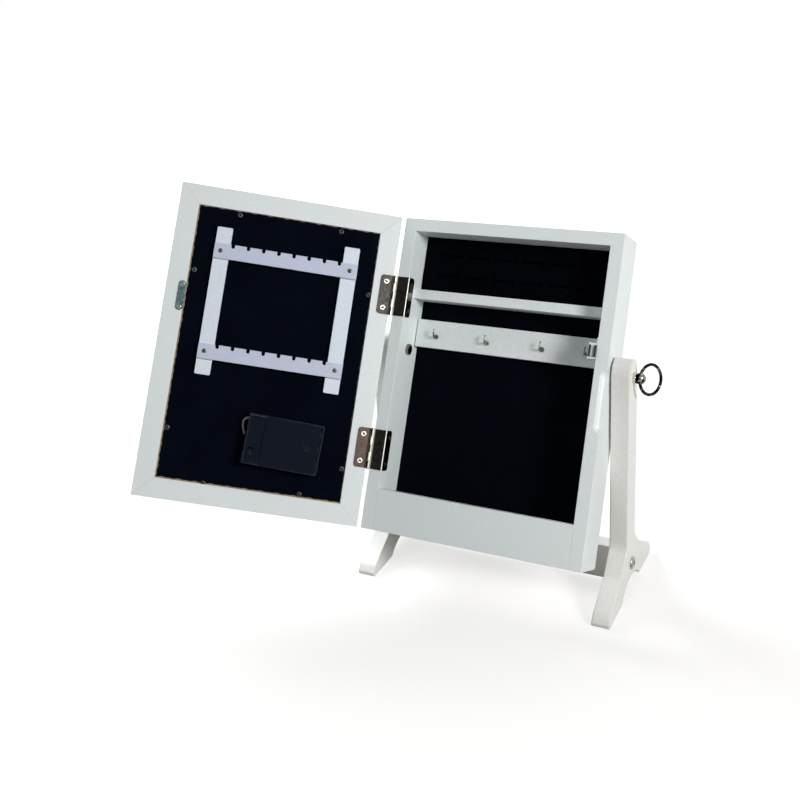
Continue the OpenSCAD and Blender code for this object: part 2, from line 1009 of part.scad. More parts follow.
// Open box with a cell bay, a switch bay under a fixed cover, and grooves for the lid
module battery_case() {
    color([0.09, 0.11, 0.14])
        at_box()
            difference() {
                union() {
                    linear_extrude(lid_z)
                        polygon(round_box(-box_l / 2, -box_h / 2, box_l / 2, box_h / 2, 1.5));
                    translate([0, 0, lid_z - 1])
                        linear_extrude(lid_t + 1)
                            polygon(rounded([
                                [bay_x1 - 0.2, -box_h / 2 + 1.15, 0],
                                [box_l / 2 - 1.2, -box_h / 2 + 1.15, 1.5],
                                [box_l / 2 - 1.2, box_h / 2 - 1.15, 1.5],
                                [bay_x1 - 0.2, box_h / 2 - 1.15, 0]]));
                }
                block([bay_x0, -box_h / 2 + box_wall, box_wall],
                    [bay_x1, box_h / 2 - box_wall, box_t + 1]);
                block([bay_x1 + 1.3, -box_h / 2 + box_wall, box_wall],
                    [box_l / 2 - box_wall, box_h / 2 - box_wall, lid_z]);
                block([bay_x0, -box_h / 2 + box_wall - 0.7, lid_z - 1.9],
                    [bay_x1, box_h / 2 - box_wall + 0.7, lid_z - 0.7]);
                block([slot_x - slot_w / 2, slot_y - slot_l / 2, lid_z - 1],
                    [slot_x + slot_w / 2, slot_y + slot_l / 2, box_t + 1]);
                rotate([0, 0, -box_turn])
                    translate(lead_out - [1.2, 0, 0])
                        rotate([0, 90, 0])
                            cylinder(h = box_wall + 3, d = lead_d + 0.3);
            }
}

// Sliding lid: plate with slanted thumb grips and two hooked runners in the case's grooves
module battery_lid() {
    color([0.10, 0.12, 0.15])
        at_box()
            union() {
                difference() {
                    translate([0, 0, lid_z + 0.05])
                        linear_extrude(lid_t - 0.05)
                            polygon(rounded([
                                [-box_l / 2 + 2.6, -box_h / 2 + 1.15, 1.5],
                                [bay_x1 - 0.35, -box_h / 2 + 1.15, 0],
                                [bay_x1 - 0.35, box_h / 2 - 1.15, 0],
                                [-box_l / 2 + 2.6, box_h / 2 - 1.15, 1.5]]));
                    for (g = thumb_grips)
                        translate([g.x, g.y, box_t - 0.5])
                            rotate([0, 0, -35])
                                translate([-0.5, -g.z / 2, 0])
                                    cube([1, g.z, 1]);
                }
                for (s = [-1, 1])
                    mirror([0, s < 0 ? 1 : 0, 0]) {
                        block([bay_x1 - 31.9, box_h / 2 - box_wall - 1.6, lid_z - 1.7],
                            [bay_x1 - 1.9, box_h / 2 - box_wall - slide_fit, lid_z + 0.1]);
                        block([bay_x1 - 31.9, box_h / 2 - box_wall - 1.6, lid_z - 1.7],
                            [bay_x1 - 1.9, box_h / 2 - box_wall + 0.5, lid_z - 0.9]);
                    }
            }
}

// Slide switch: a thumb block in the slot on a wider foot under the cover
module battery_switch() {
    color([0.05, 0.05, 0.06])
        at_box()
            union() {
                block([slot_x - slot_w / 2 + slide_fit, slot_y - slot_l / 2 + slide_fit, lid_z - 1.6],
                    [slot_x + slot_w / 2 - slide_fit, slot_y + 0.2, box_t - 0.4]);
                block([slot_x - 2.9, slot_y - slot_l / 2 - 1.2, lid_z - 2],
                    [slot_x + 2.9, slot_y + 2.6, lid_z - 0.1]);
            }
}

// Round cell with a raised end, i places up from the middle one
module cell(i) {
    at_box()
        translate([cell_x0, i * cell_pitch, box_wall + cell_d / 2]) {
            bar_x(i == 0 ? 0 : 1, i == 0 ? cell_l - 1 : cell_l, cell_d);
            bar_x(i == 0 ? cell_l - 1.1 : 0, i == 0 ? cell_l : 1.1, 5.5);
        }
}

module cell_1() {
    color([0.16, 0.28, 0.42])
        cell(-1);
}

module cell_2() {
    color([0.16, 0.28, 0.42])
        cell(0);
}

module cell_3() {
    color([0.16, 0.28, 0.42])
        cell(1);
}

// Lamp lead: an eight-sided tube swept along its route

// Direction of the route at point i
function along(p, i) = unit(p[min(i + 1, len(p) - 1)] - p[max(i - 1, 0)]);

// A direction square to the route at every point, carried along it without twist
function across(p) =
    [for (i = 0, s = unit(cross(along(p, 0), [0, 1, 1])); i < len(p);
        i = i + 1, s = unit(s - (s * along(p, min(i, len(p) - 1))) * along(p, min(i, len(p) - 1)))) s];

// Solid tube of diameter d and n sides along the points p
module tube(p, d, n) {
    side = across(p);
    rings = [for (i = [0 : len(p) - 1])
        let (t = along(p, i), w = cross(t, side[i]))
        for (k = [0 : n - 1]) p[i] + d / 2 * (cos(k * 360 / n) * side[i] + sin(k * 360 / n) * w)];
    last = (len(p) - 1) * n;
    polyhedron(points = rings, faces = concat(
        [[for (k = [0 : n - 1]) k]],
        [for (i = [0 : len(p) - 2], k = [0 : n - 1])
            [i * n + k, (i + 1) * n + k, (i + 1) * n + (k + 1) % n, i * n + (k + 1) % n]],
        [[for (k = [n - 1 : -1 : 0]) last + k]]), convexity = 6);
}

module lead() {
    color([0.93, 0.91, 0.84])
        at_door()
            tube(lead_route, lead_d, 8);
}

upright_right();
upright_left();
stretcher();
stretcher_bolt_right();
stretcher_bolt_left();
knob_right();
knob_left();
collar_right();
collar_left();
ring_right();
ring_left();
pivot_nut_right();
pivot_nut_left();
pivot_washer_right();
pivot_washer_left();
side_left();
side_right();
top_board();
front_rail();
bottom_board();
back_board();
back_felt();
ring_cushion();
shelf();
hook_rail();
hook_1();
hook_2();
hook_3();
hook_4();
catch_body();
catch_pole_1();
catch_pole_2();
hinge_top_case_leaf();
hinge_top_door_leaf();
hinge_top_pin();
hinge_low_case_leaf();
hinge_low_door_leaf();
hinge_low_pin();
door_stile_hinge();
door_stile_free();
door_rail_top();
door_rail_bottom();
mirror_glass();
led_strip_hinge();
led_strip_free();
backing_board();
backing_felt();
rack_bar_hinge();
rack_bar_free();
rack_rail_top();
rack_rail_low();
strike_plate();
battery_case();
battery_lid();
battery_switch();
cell_1();
cell_2();
cell_3();
lead();
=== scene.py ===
import math

import bpy
import numpy as np
from mathutils import Matrix, Vector


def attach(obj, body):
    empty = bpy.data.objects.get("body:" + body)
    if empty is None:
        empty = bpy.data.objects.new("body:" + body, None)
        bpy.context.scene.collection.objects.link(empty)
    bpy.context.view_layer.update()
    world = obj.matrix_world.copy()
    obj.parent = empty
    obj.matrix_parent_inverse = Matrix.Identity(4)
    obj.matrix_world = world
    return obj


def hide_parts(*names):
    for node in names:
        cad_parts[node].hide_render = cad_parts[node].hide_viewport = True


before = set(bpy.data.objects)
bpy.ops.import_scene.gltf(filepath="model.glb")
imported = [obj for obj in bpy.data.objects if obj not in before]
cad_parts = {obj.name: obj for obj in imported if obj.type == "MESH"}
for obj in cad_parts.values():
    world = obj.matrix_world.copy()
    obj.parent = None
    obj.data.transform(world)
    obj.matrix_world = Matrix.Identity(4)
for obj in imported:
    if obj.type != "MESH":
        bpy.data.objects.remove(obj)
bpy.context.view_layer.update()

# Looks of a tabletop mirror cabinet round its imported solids: a finish for every solid, and the pieces
# that are made here, which are screw heads, pins, springs, the lamp lead, two felts and the cushion.

# The case's lean, the door's opening and the battery box's turn; then, in metres, the pivot's height
# over the floor and its place in the case, the hinge pin's place beside the case and the door's edge
# from the pin, and the battery box's middle on the door
LEAN, OPEN, BOX_TURN = (math.radians(a) for a in (26.0, 148.8, 2.0))
PIVOT_HIGH, PIVOT_IN, PIVOT_UP = 0.2152, 0.0205, 0.1744
PIN_LEFT, PIN_OUT, DOOR_EDGE = 0.1091, 0.0012, 0.0018
BOX_ACROSS, BOX_UP, BOX_SUNK = 0.0816, 0.0671, 0.0016

# Frames of the object, each an origin and three axes in the row frame. The case's axes are across,
# deep and high; the door's run from its hinge edge, up, and out of its felt side. The door's and the
# battery box's frames are left-handed.
X, Z = np.array([1.0, 0, 0]), np.array([0, 0, 1.0])
DEEP = np.array([0, math.cos(LEAN), -math.sin(LEAN)])
HIGH = np.array([0, math.sin(LEAN), math.cos(LEAN)])
OUTWARD = math.cos(OPEN) * X - math.sin(OPEN) * DEEP
FELTWARD = math.sin(OPEN) * X + math.cos(OPEN) * DEEP
STAND = (np.zeros(3), X, np.array([0, 1.0, 0]), Z)
CASE = (PIVOT_HIGH * Z - PIVOT_IN * DEEP - PIVOT_UP * HIGH, X, DEEP, HIGH)
DOOR = (CASE[0] - PIN_LEFT * X - PIN_OUT * DEEP + DOOR_EDGE * OUTWARD - PIN_OUT * FELTWARD,
        OUTWARD, HIGH, FELTWARD)
BOX = (DOOR[0] + BOX_ACROSS * OUTWARD + BOX_UP * HIGH - BOX_SUNK * FELTWARD,
       math.cos(BOX_TURN) * OUTWARD + math.sin(BOX_TURN) * HIGH,
       math.cos(BOX_TURN) * HIGH - math.sin(BOX_TURN) * OUTWARD, FELTWARD)

# Sizes in millimetres. In the case: half its inner width, the depths of its felt, cushion, back board
# and outer back, and the heights of its floor, shelf and ceiling
INNER_X = 95.5
FELT_Y, CUSHION_Y, BACK_Y, OUTER_BACK_Y = 41.8, 29.5, 42.5, 46
CASE_FLOOR, SHELF_TOP, CASE_TOP = 12.0, 233.9, 288.0

# In the door: how far its felt, backing board, strike plate, hinge leaf and rack stand out of its
# frame, minus where they are sunk in it, and the door's width, its frame's width and its height
FELT_N, BOARD_N, STRIKE_N, LEAF_N, RACK_N = -1.6, -2.4, 1.2, 1.1, 6.4
DOOR_W, FRAME_W, DOOR_H = 214.6, 19.0, 300.0

# The cushion: where its slits start, their pitch, length and end cuts, the share of its height at
# which each row lies, the depth and half width of a groove and of its lip, and the roll of its edges
SLIT_START, SLIT_PITCH, SLIT_LONG, SLIT_END = 17.4, 27.9, 19.9, 2.1
SLIT_ROWS = np.array([0.2976, 0.6728])
GROOVE_DEEP, GROOVE_HALF, LIP_DEEP, LIP_HALF = 6.5, 0.5, 0.55, 1.5
ROLL_DEEP, ROLL_WIDE = 2.2, 2.6
CLOTH_STEPS = 20

# Places of the screws and pins: across and up on the door, heights on hinges and catch, across and up
# on the back
HINGE_SCREW_HEIGHTS = [hinge + offset for hinge in (75, 223) for offset in (-12.8, 12.8)]
PANEL_SCREWS = [(56.6, 276.8), (155.2, 277.0), (21.8, 220.2), (190.2, 218.2),
                (191.4, 66.6), (22.4, 51.6), (58.6, 22.4), (150.2, 19.8)]
RACK_SCREWS = [(u, v) for u in (43.6, 168.4) for v in (239.4, 142.8)]
STRIKE_SCREWS = [(198.8, v) for v in (202.8, 180.9)]
CATCH_SCREW_HEIGHTS = (181.9, 203.3)
BACK_PINS = ([(x, h) for x in (-90, -30, 30, 90) for h in (16, 283)]
             + [(x, h) for x in (-90, 90) for h in (83, 150, 217)])

# The battery box's cells and the two light strips: how far apart they are, how far the strips' middle
# lines lie in from the door's edges, and half the width and height of the mirror's frosted windows
CELL_PITCH = 14.6
STRIP_IN, LAMP_PITCH = 34, 16.7
WINDOW_X, WINDOW_Y = 4.4, 112.2

# The lamp lead's way out of the battery box, and its bends from there
LEAD_START = (BOX_ACROSS * 1000 + 33.3, BOX_UP * 1000 + 19.7, FELT_N)
LEAD_BENDS = [(0, 0, 4.6), (1.7, 0, 4.6), (3.3, -0.2, 4.6), (4.9, -1, 4.2), (6, -2.6, 3.6),
              (6.4, -4.8, 2.8), (6.3, -7.2, 2.1), (5.9, -9.6, 1.6), (5.2, -11.8, 1.3),
              (4.5, -13.7, 0.8), (4.1, -14.9, -0.2), (4, -15.4, -1.4), (4.1, -15.6, -2.6),
              (4.7, -15.8, -3.8), (5.9, -15.8, -4.4), (8.1, -15.8, -4.5)]


def photo_camera():
    """Camera at the photograph's place: a 53 mm lens, its frame shifted to the right and down."""
    data = bpy.data.cameras.new("camera")
    data.lens, data.sensor_width = 52.637, 36.0
    data.shift_x, data.shift_y = 0.045844, -0.135145
    data.clip_start, data.clip_end = 0.02, 30.0
    camera = bpy.data.objects.new("camera", data)
    bpy.context.scene.collection.objects.link(camera)
    right = Vector((0.888513, 0.455336, -0.056692))
    up = Vector((-0.092697, 0.299127, 0.949700))
    back = Vector((0.449390, -0.838566, 0.307986))
    turn = Matrix((right, up, back)).transposed().to_4x4()
    camera.matrix_world = Matrix.Translation((0.372607, -0.957420, 0.621236)) @ turn
    bpy.context.scene.camera = camera


# Meshes

def place(axes, points):
    """Points in millimetres in one of the object's frames, as points of the row frame in metres:
    the origin plus each number times its axis."""
    origin, a, b, c = axes
    p = np.asarray(points, float) * 0.001
    return origin + p[..., :1] * a + p[..., 1:2] * b + p[..., 2:] * c


def quads(rows, cols, wrap):
    """Faces between the neighbours of a grid of rows by cols; wrap joins the last column to the
    first."""
    index = np.arange(rows * cols).reshape(rows, cols)
    if wrap:
        index = np.hstack([index, index[:, :1]])
    return np.stack([index[:-1, :-1], index[1:, :-1], index[1:, 1:], index[:-1, 1:]], -1).reshape(-1, 4)


def piece(name, shells, body, finish, sharp=40):
    """One object from closed shells, each a grid of points whose columns wrap round. The first and
    last rows are closed by a fan on their middle point, and a shell that encloses a negative
    volume, the sum over its faces of p0 . (p1 x p2) / 6, has its faces turned. The attribute along
    runs from 0 at the first row to 1 at the last."""
    points, faces, along, count = [], [], [], 0
    for grid in shells:
        rows, cols = grid.shape[:2]
        flat = grid.reshape(-1, 3)
        own = np.vstack([flat, grid[0].mean(0), grid[-1].mean(0)])
        body_faces = quads(rows, cols, True)
        ring = np.arange(cols)
        after = np.roll(ring, -1)
        first = np.stack([np.full(cols, rows * cols), ring, after], -1)
        last = np.stack([np.full(cols, rows * cols + 1), (rows - 1) * cols + after,
                         (rows - 1) * cols + ring], -1)
        lids = np.vstack([first, last])
        triangles = np.vstack([body_faces[:, [0, 1, 2]], body_faces[:, [0, 2, 3]], lids])
        corner = own[triangles] - own.mean(0)
        if (corner[:, 0] * np.cross(corner[:, 1], corner[:, 2])).sum() < 0:
            body_faces, lids = body_faces[:, ::-1], lids[:, ::-1]
        points.append(own)
        faces += (body_faces + count).tolist() + (lids + count).tolist()
        along += [np.repeat(np.linspace(0, 1, rows), cols), [0.0, 1.0]]
        count += len(own)
    made = finished_mesh(name, np.vstack(points), faces, body, finish, sharp)
    made.data.attributes.new("along", "FLOAT", "POINT").data.foreach_set("value", np.concatenate(along))
    return made


def finished_mesh(name, points, faces, body, finish, sharp):
    """Puts points and faces into a mesh, shades it smooth up to the sharp angle, and sets it on
    its body."""
    mesh = bpy.data.meshes.new(name)
    mesh.from_pydata(points, [], faces)
    mesh.polygons.foreach_set("use_smooth", np.ones(len(mesh.polygons), bool))
    mesh.set_sharp_from_angle(angle=math.radians(sharp))
    mesh.materials.append(finish)
    mesh.update()
    made = bpy.data.objects.new(name, mesh)
    bpy.context.scene.collection.objects.link(made)
    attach(made, body)
    return made


def smooth(t):
    """Smooth step 3t^2 - 2t^3 of t held between 0 and 1."""
    t = np.clip(t, 0, 1)
    return t * t * (3 - 2 * t)


def screw_head(axes, at, out, radius, rise, cross, turn):
    """Cross-slotted screw head as rings and turns about its seat. Its height over the seat is
    rise * sqrt(1 - (0.9 r / R)^2), less a cross: the deeper of two arms, each a smooth step of the
    distance from its middle line that ends at 0.66 R. The rim is rounded and runs into the seat."""
    rings = np.concatenate([np.linspace(0.03, 0.7, 15), np.linspace(0.76, 1, 6), [1.0, 1.0]])
    r = radius * rings[:, None]
    t = np.linspace(0, 2 * math.pi, 40, endpoint=False)[None, :] + turn
    x, y = r * np.cos(t - turn), r * np.sin(t - turn)
    width = 0.17 * radius

    def arm(a, b):
        """One arm of the cross, along a."""
        return smooth(1.6 - np.abs(b) / width) * smooth((0.66 * radius - np.abs(a)) / (0.12 * radius))

    z = rise * np.sqrt(1 - (0.9 * r / radius) ** 2) - cross * np.maximum(arm(x, y), arm(y, x))
    z[-3:] = rise * np.array([[0.3], [0.0], [-0.4]])
    z[-1:] -= 0.3
    head = np.stack([r * np.cos(t), r * np.sin(t), z], -1)
    ways = {"n": ((1, 0, 0), (0, 1, 0), (0, 0, 1)), "x": ((0, 1, 0), (0, 0, 1), (1, 0, 0)),
            "-x": ((0, 0, 1), (0, 1, 0), (-1, 0, 0)), "back": ((0, 0, 1), (1, 0, 0), (0, 1, 0))}
    return place(axes, np.asarray(at, float) + head @ np.array(ways[out], float))


def tube(axes, path, radius, sides=20):
    """Round tube: at each point of the path a circle of the radius, in the plane of two directions
    square to the path, the first being the cross product of the path's direction and a fixed one."""
    path = np.asarray(path, float)
    along = np.gradient(path, axis=0)
    along /= np.linalg.norm(along, axis=1, keepdims=True)
    side = np.cross(along, [0.3, -0.5, 0.8])
    side /= np.linalg.norm(side, axis=1, keepdims=True)
    up = np.cross(along, side)
    t = np.linspace(0, 2 * math.pi, sides, endpoint=False)[None, :, None]
    ring = path[:, None] + radius * (np.cos(t) * side[:, None] + np.sin(t) * up[:, None])
    return place(axes, ring)


def through(points, step):
    """Smooth curve through points: the cubic between each two whose ends run along the line
    through the neighbours, step samples to a span."""
    p = np.asarray(points, float)
    before, after = np.vstack([p[:1], p[:-2]]), np.vstack([p[2:], p[-1:]])
    a, b = p[:-1], p[1:]
    ma, mb = (b - before) / 2, (after - a) / 2
    t = np.linspace(0, 1, step, endpoint=False)[None, :, None]
    a, b, ma, mb = (q[:, None] for q in (a, b, ma, mb))
    curve = ((2 * t**3 - 3 * t**2 + 1) * a + (t**3 - 2 * t**2 + t) * ma
             + (3 * t**2 - 2 * t**3) * b + (t**3 - t**2) * mb)
    return np.vstack([curve.reshape(-1, 3), p[-1:]])


def slab(first, second, face, back):
    """Closed slab as one grid of points in a frame's millimetres: face is a grid of depths over the
    values first by second, held by a rim of points at the depth back and one polygon behind."""
    a, b = np.meshgrid(first, second, indexing="ij")
    pad = ((1, 1), (1, 1))
    a, b = np.pad(a, pad, mode="edge"), np.pad(b, pad, mode="edge")
    depth = np.pad(face, pad, constant_values=back)
    rows, cols = depth.shape
    faces = quads(rows, cols, False).tolist()
    index = np.arange(rows * cols).reshape(rows, cols)
    rim = np.concatenate([index[0, :-1], index[:-1, -1], index[-1, :0:-1], index[:0:-1, 0]])
    return np.stack([a, b, depth], -1).reshape(-1, 3), faces, rim.tolist()


# Pieces

def puffed_skin(fixed):
    """Height in millimetres of the cushion's velvet skin over its foam, held at 0 where fixed."""
    rows, cols = fixed.shape
    i, j = np.meshgrid(np.arange(rows), np.arange(cols), indexing="ij")
    points = np.stack([i, j, np.zeros_like(i)], -1).reshape(-1, 3) * 0.001
    mesh = bpy.data.meshes.new("cushion_skin")
    mesh.from_pydata(points, [], quads(rows, cols, False)[:, ::-1].tolist())
    skin = bpy.data.objects.new("cushion_skin", mesh)
    bpy.context.scene.collection.objects.link(skin)
    held = skin.vertex_groups.new(name="held")
    held.add(np.flatnonzero(fixed.ravel()).tolist(), 1.0, "REPLACE")
    cloth = skin.modifiers.new("blown", "CLOTH")
    cloth.settings.vertex_group_mass = "held"
    cloth.settings.effector_weights.gravity = 0
    cloth.settings.use_pressure = True
    cloth.settings.uniform_pressure_force = 40.0
    cloth.settings.tension_stiffness = 1.0
    cloth.settings.compression_stiffness = 1.0
    cloth.settings.shear_stiffness = 0.3
    cloth.settings.shrink_min = -0.004
    for step in range(1, CLOTH_STEPS + 1):
        bpy.context.scene.frame_set(step)
    made = skin.evaluated_get(bpy.context.evaluated_depsgraph_get()).to_mesh()
    flat = np.empty(len(made.vertices) * 3)
    made.vertices.foreach_get("co", flat)
    bpy.context.scene.frame_set(1)
    bpy.data.objects.remove(skin)
    bpy.data.meshes.remove(mesh)
    return np.abs(flat.reshape(rows, cols, 3)[..., 2]) * 1000


def clustered(low, high, step, marks, reach, fine):
    """Values from low to high by step, with fine steps added within reach of each mark."""
    parts = [np.arange(low, high, step), [high]]
    parts += [np.arange(m - reach, m + reach, fine) for m in marks]
    v = np.unique(np.round(np.concatenate(parts), 3))
    return v[(v >= low) & (v <= high)]


def sampled(heights, i, j):
    """Heights of a grid read at places between its points: the mean of the four round a place, each
    weighted by how near it is."""
    rows, cols = heights.shape
    i, j = np.clip(i, 0, rows - 1.01), np.clip(j, 0, cols - 1.01)
    i0, j0 = i.astype(int), j.astype(int)
    fi, fj = i - i0, j - j0
    return (heights[i0, j0] * (1 - fi) * (1 - fj) + heights[i0 + 1, j0] * fi * (1 - fj)
            + heights[i0, j0 + 1] * (1 - fi) * fj + heights[i0 + 1, j0 + 1] * fi * fj)


def ring_cushion(finish):
    """Foam cushion with two rows of six slits, each with a short cut across both ends. The skin
    swells between the slits as blown cloth and rolls over at the cushion's edges by a quarter
    ellipse. A slit sinks by GROOVE_DEEP / (1 + (s / GROOVE_HALF)^4) and its lips by
    LIP_DEEP exp(-(s / LIP_HALF)^2), s being the distance from the nearest cut line."""
    height = CASE_TOP - SHELF_TOP
    rows = SHELF_TOP + height * SLIT_ROWS + 0.4
    starts = SLIT_START - INNER_X + SLIT_PITCH * np.arange(6)
    slits = [[x, h, x + SLIT_LONG, h] for h in rows for x in starts]
    cuts = [[x + e, h - SLIT_END, x + e, h + SLIT_END]
            for h in rows for x in starts for e in (0, SLIT_LONG)]
    lines = np.array(slits + cuts)
    wide = clustered(-INNER_X + 0.05, INNER_X - 0.05, 1.6,
                     np.concatenate([starts, starts + SLIT_LONG]), 2.2, 0.22)
    tall = clustered(SHELF_TOP + 0.05, CASE_TOP - 0.05, 1.4, rows, 3.6, 0.22)
    tall = np.unique(np.round(np.concatenate([tall, tall[0] + np.array([0.1, 0.3, 0.7]),
                                              tall[-1] - np.array([0.1, 0.3, 0.7])]), 3))
    x, h = np.meshgrid(wide, tall, indexing="ij")
    s = np.full(x.shape, 99.0)
    for x0, h0, x1, h1 in lines:
        dx = np.maximum(np.maximum(x0 - x, x - x1), 0)
        dh = np.maximum(np.maximum(h0 - h, h - h1), 0)
        s = np.minimum(s, np.hypot(dx, dh))
    gx, gh = np.arange(-INNER_X, INNER_X + 1), np.arange(SHELF_TOP, CASE_TOP + 1)
    mx, mh = np.meshgrid(gx, gh, indexing="ij")
    fixed = (np.abs(mx) > INNER_X - 1) | (mh < gh[1]) | (mh > gh[-2])
    for x0, h0, x1, h1 in slits:
        fixed |= (mx >= x0 - 0.5) & (mx <= x1 + 0.5) & (np.abs(mh - h0) < 0.8)
    swell = sampled(puffed_skin(fixed), x - gx[0], h - gh[0])
    edge = np.minimum(np.minimum(x - wide[0], wide[-1] - x), np.minimum(h - tall[0], tall[-1] - h))
    roll = ROLL_DEEP * (1 - np.sqrt(np.clip(1 - (1 - np.clip(edge / ROLL_WIDE, 0, 1)) ** 2, 0, 1)))
    ripple = 0.10 * np.sin(x * 0.21 + 0.9 * np.sin(h * 0.17)) * np.sin(h * 0.33 + 1.1)
    sink = GROOVE_DEEP / (1 + (s / GROOVE_HALF) ** 4) + LIP_DEEP * np.exp(-((s / LIP_HALF) ** 2))
    front = CUSHION_Y + 0.25 - 0.8 * swell + roll + sink + ripple * smooth(s / 3)
    points, faces, rim = slab(wide, tall, front, FELT_Y)
    points = place(CASE, points[:, [0, 2, 1]])
    made = finished_mesh("ring_cushion_foam", points, faces + [rim], "case", finish, 60)
    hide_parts("ring_cushion")


def felt_sheet(name, axes, order, span, wander, back, face, dimples, body, finish, replaced):
    """Thin felt glued on a board: its face stands at the depth face less a dip of 0.35 mm that falls
    off as exp(-(r / 3)^2) round each screw, plus waves of a few hundredths; its cut edge wanders by
    a sum of sines and rolls down over the last millimetre."""
    (a0, a1), (b0, b1) = span
    first, second = np.linspace(a0, a1, int((a1 - a0) / 1.5)), np.linspace(b0, b1, int((b1 - b0) / 1.5))
    ends = np.array([0.0, 0.3, 0.8])
    first = np.unique(np.concatenate([a0 + ends, first, a1 - ends]))
    second = np.unique(np.concatenate([b0 + ends, second, b1 - ends]))
    a, b = np.meshgrid(first, second, indexing="ij")
    out = np.sign(face - back)
    wave = 0.03 * np.sin(a * 0.31 + 1.3 * np.sin(b * 0.07)) * np.sin(b * 0.23 + 0.8)
    edge = np.minimum(np.minimum(a - a0, a1 - a), np.minimum(b - b0, b1 - b))
    wave = wave - 0.3 * (1 - smooth(edge / 0.8))
    for u, v in dimples:
        wave = wave - 0.35 * np.exp(-((a - u) ** 2 + (b - v) ** 2) / 9.0)
    points, faces, rim = slab(first, second, face + out * (wave - 0.02), back)
    u, v = points[:, 0].copy(), points[:, 1].copy()
    inset = wander * (0.5 + 0.28 * np.sin(v * 0.9) + 0.22 * np.sin(v * 0.37 + 2))
    inward = np.where(u > (a0 + a1) / 2, -1, 1)
    points[:, 0] += inward * inset * smooth(1 - np.minimum(u - a0, a1 - u) / 3)
    inset = wander * (0.5 + 0.26 * np.sin(u * 0.8 + 1) + 0.24 * np.sin(u * 0.41))
    inward = np.where(v > (b0 + b1) / 2, -1, 1)
    points[:, 1] += inward * inset * smooth(1 - np.minimum(v - b0, b1 - v) / 3)
    placed = place(axes, points[:, order])
    if order != [0, 1, 2]:
        faces, rim = [f[::-1] for f in faces], rim[::-1]
    made = finished_mesh(name, placed, faces + [rim], body, finish, 60)
    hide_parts(replaced)


def screws(finishes):
    """Every visible screw head and pin, each group one object: its frame and the way it faces, then
    its radius, rise and cross, its finish and slot, and for each head its place and its turn, which
    comes from its place so that no two crosses lie alike."""
    groups = [
        ("panel_screws", DOOR, "n", (2.5, 1.2, 0.7), "panel_screw", "black_steel",
         [(u, v, FELT_N - 0.25, u) for u, v in PANEL_SCREWS]),
        ("rack_screws", DOOR, "n", (2.2, 0.8, 0.6), "rack_screw", "black_steel",
         [(u, v, RACK_N, u + v) for u, v in RACK_SCREWS]),
        ("strike_screws", DOOR, "n", (1.9, 0.35, 0.6), "strike_screw", "bolt_steel",
         [(u, v, STRIKE_N, v) for u, v in STRIKE_SCREWS]),
        ("hinge_door_screws", DOOR, "n", (2.5, 0.14, 0.6), "bright_screw", "bolt_steel",
         [(6.6, h, LEAF_N, h) for h in HINGE_SCREW_HEIGHTS]),
        ("hinge_case_screws", CASE, "x", (2.3, 0.4, 0.8), "rack_screw", "bolt_steel",
         [(LEAF_N - INNER_X, 5.6, h, h) for h in HINGE_SCREW_HEIGHTS]),
        ("catch_screws", CASE, "-x", (1.9, 0.7, 0.6), "bolt_steel", "bolt_steel",
         [(INNER_X - 1.8, 6.5, h, h) for h in CATCH_SCREW_HEIGHTS]),
        ("back_panel_pins", CASE, "back", (1.1, 0.25, 0.0), "bolt_steel", "bolt_steel",
         [(x, OUTER_BACK_Y, h, 0.0) for x, h in BACK_PINS])]
    for name, axes, out, (radius, rise, cross), finish, slot, spots in groups:
        heads = [screw_head(axes, spot[:3], out, radius, rise, cross, spot[3]) for spot in spots]
        piece(name, heads, "door" if axes is DOOR else "case", finishes[finish])


def lamp_lead(finish):
    """Lead from the battery box over the felt and through the panel to the light strip: a smooth
    tube along the solid's own route."""
    bends = np.array(LEAD_START) + np.array(LEAD_BENDS, float)
    run = np.linspace(bends[-1], [DOOR_W - STRIP_IN - 4, bends[-1][1], bends[-1][2]], 7)[1:]
    made = piece("lamp_lead", [tube(DOOR, through(np.vstack([bends, run]), 5), 1.1)],
                 "door", finish, 60)
    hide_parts("lead")


def contact_springs(finish):
    """Conical contact springs at the cells' flat ends: a helix of four turns whose radius narrows
    from 3.6 to 1.9 mm, swept by a round wire."""
    shells = []
    turn = np.linspace(0, 8 * math.pi, 140)
    for k in (-1, 0, 1):
        s = turn / turn[-1]
        radius = 3.6 - 1.7 * s
        path = np.stack([-33.9 + 2.2 * s, k * CELL_PITCH + radius * np.cos(turn),
                         8.65 + radius * np.sin(turn)], -1)
        shells.append(tube(BOX, path, 0.25, 8))
    piece("contact_springs", shells, "door", finish, 80)


# Finishes

def tone(red, green, blue):
    """Linear colour of an 8-bit display colour."""
    c = np.array([red, green, blue]) / 255
    return (*np.where(c < 0.04045, c / 12.92, ((c + 0.055) / 1.055) ** 2.4).tolist(), 1.0)


def scaled(colour, share, lift=0.0):
    """A colour whose three channels are multiplied by a share, held at 1, plus a lift."""
    return [min(1, c * share) + lift for c in colour[:3]] + [1]


def put(tree, kind, inputs, out=0, **settings):
    """A shader node: each input, by name or number, is linked if it is an output and set if it is a
    value. It gives one of the node's outputs."""
    made = tree.nodes.new("ShaderNode" + kind)
    for key, value in settings.items():
        setattr(made, key, value)
    for key, value in inputs.items():
        if isinstance(value, bpy.types.NodeSocket):
            tree.links.new(value, made.inputs[key])
        else:
            made.inputs[key].default_value = value
    return made.outputs[out] if made.outputs else made


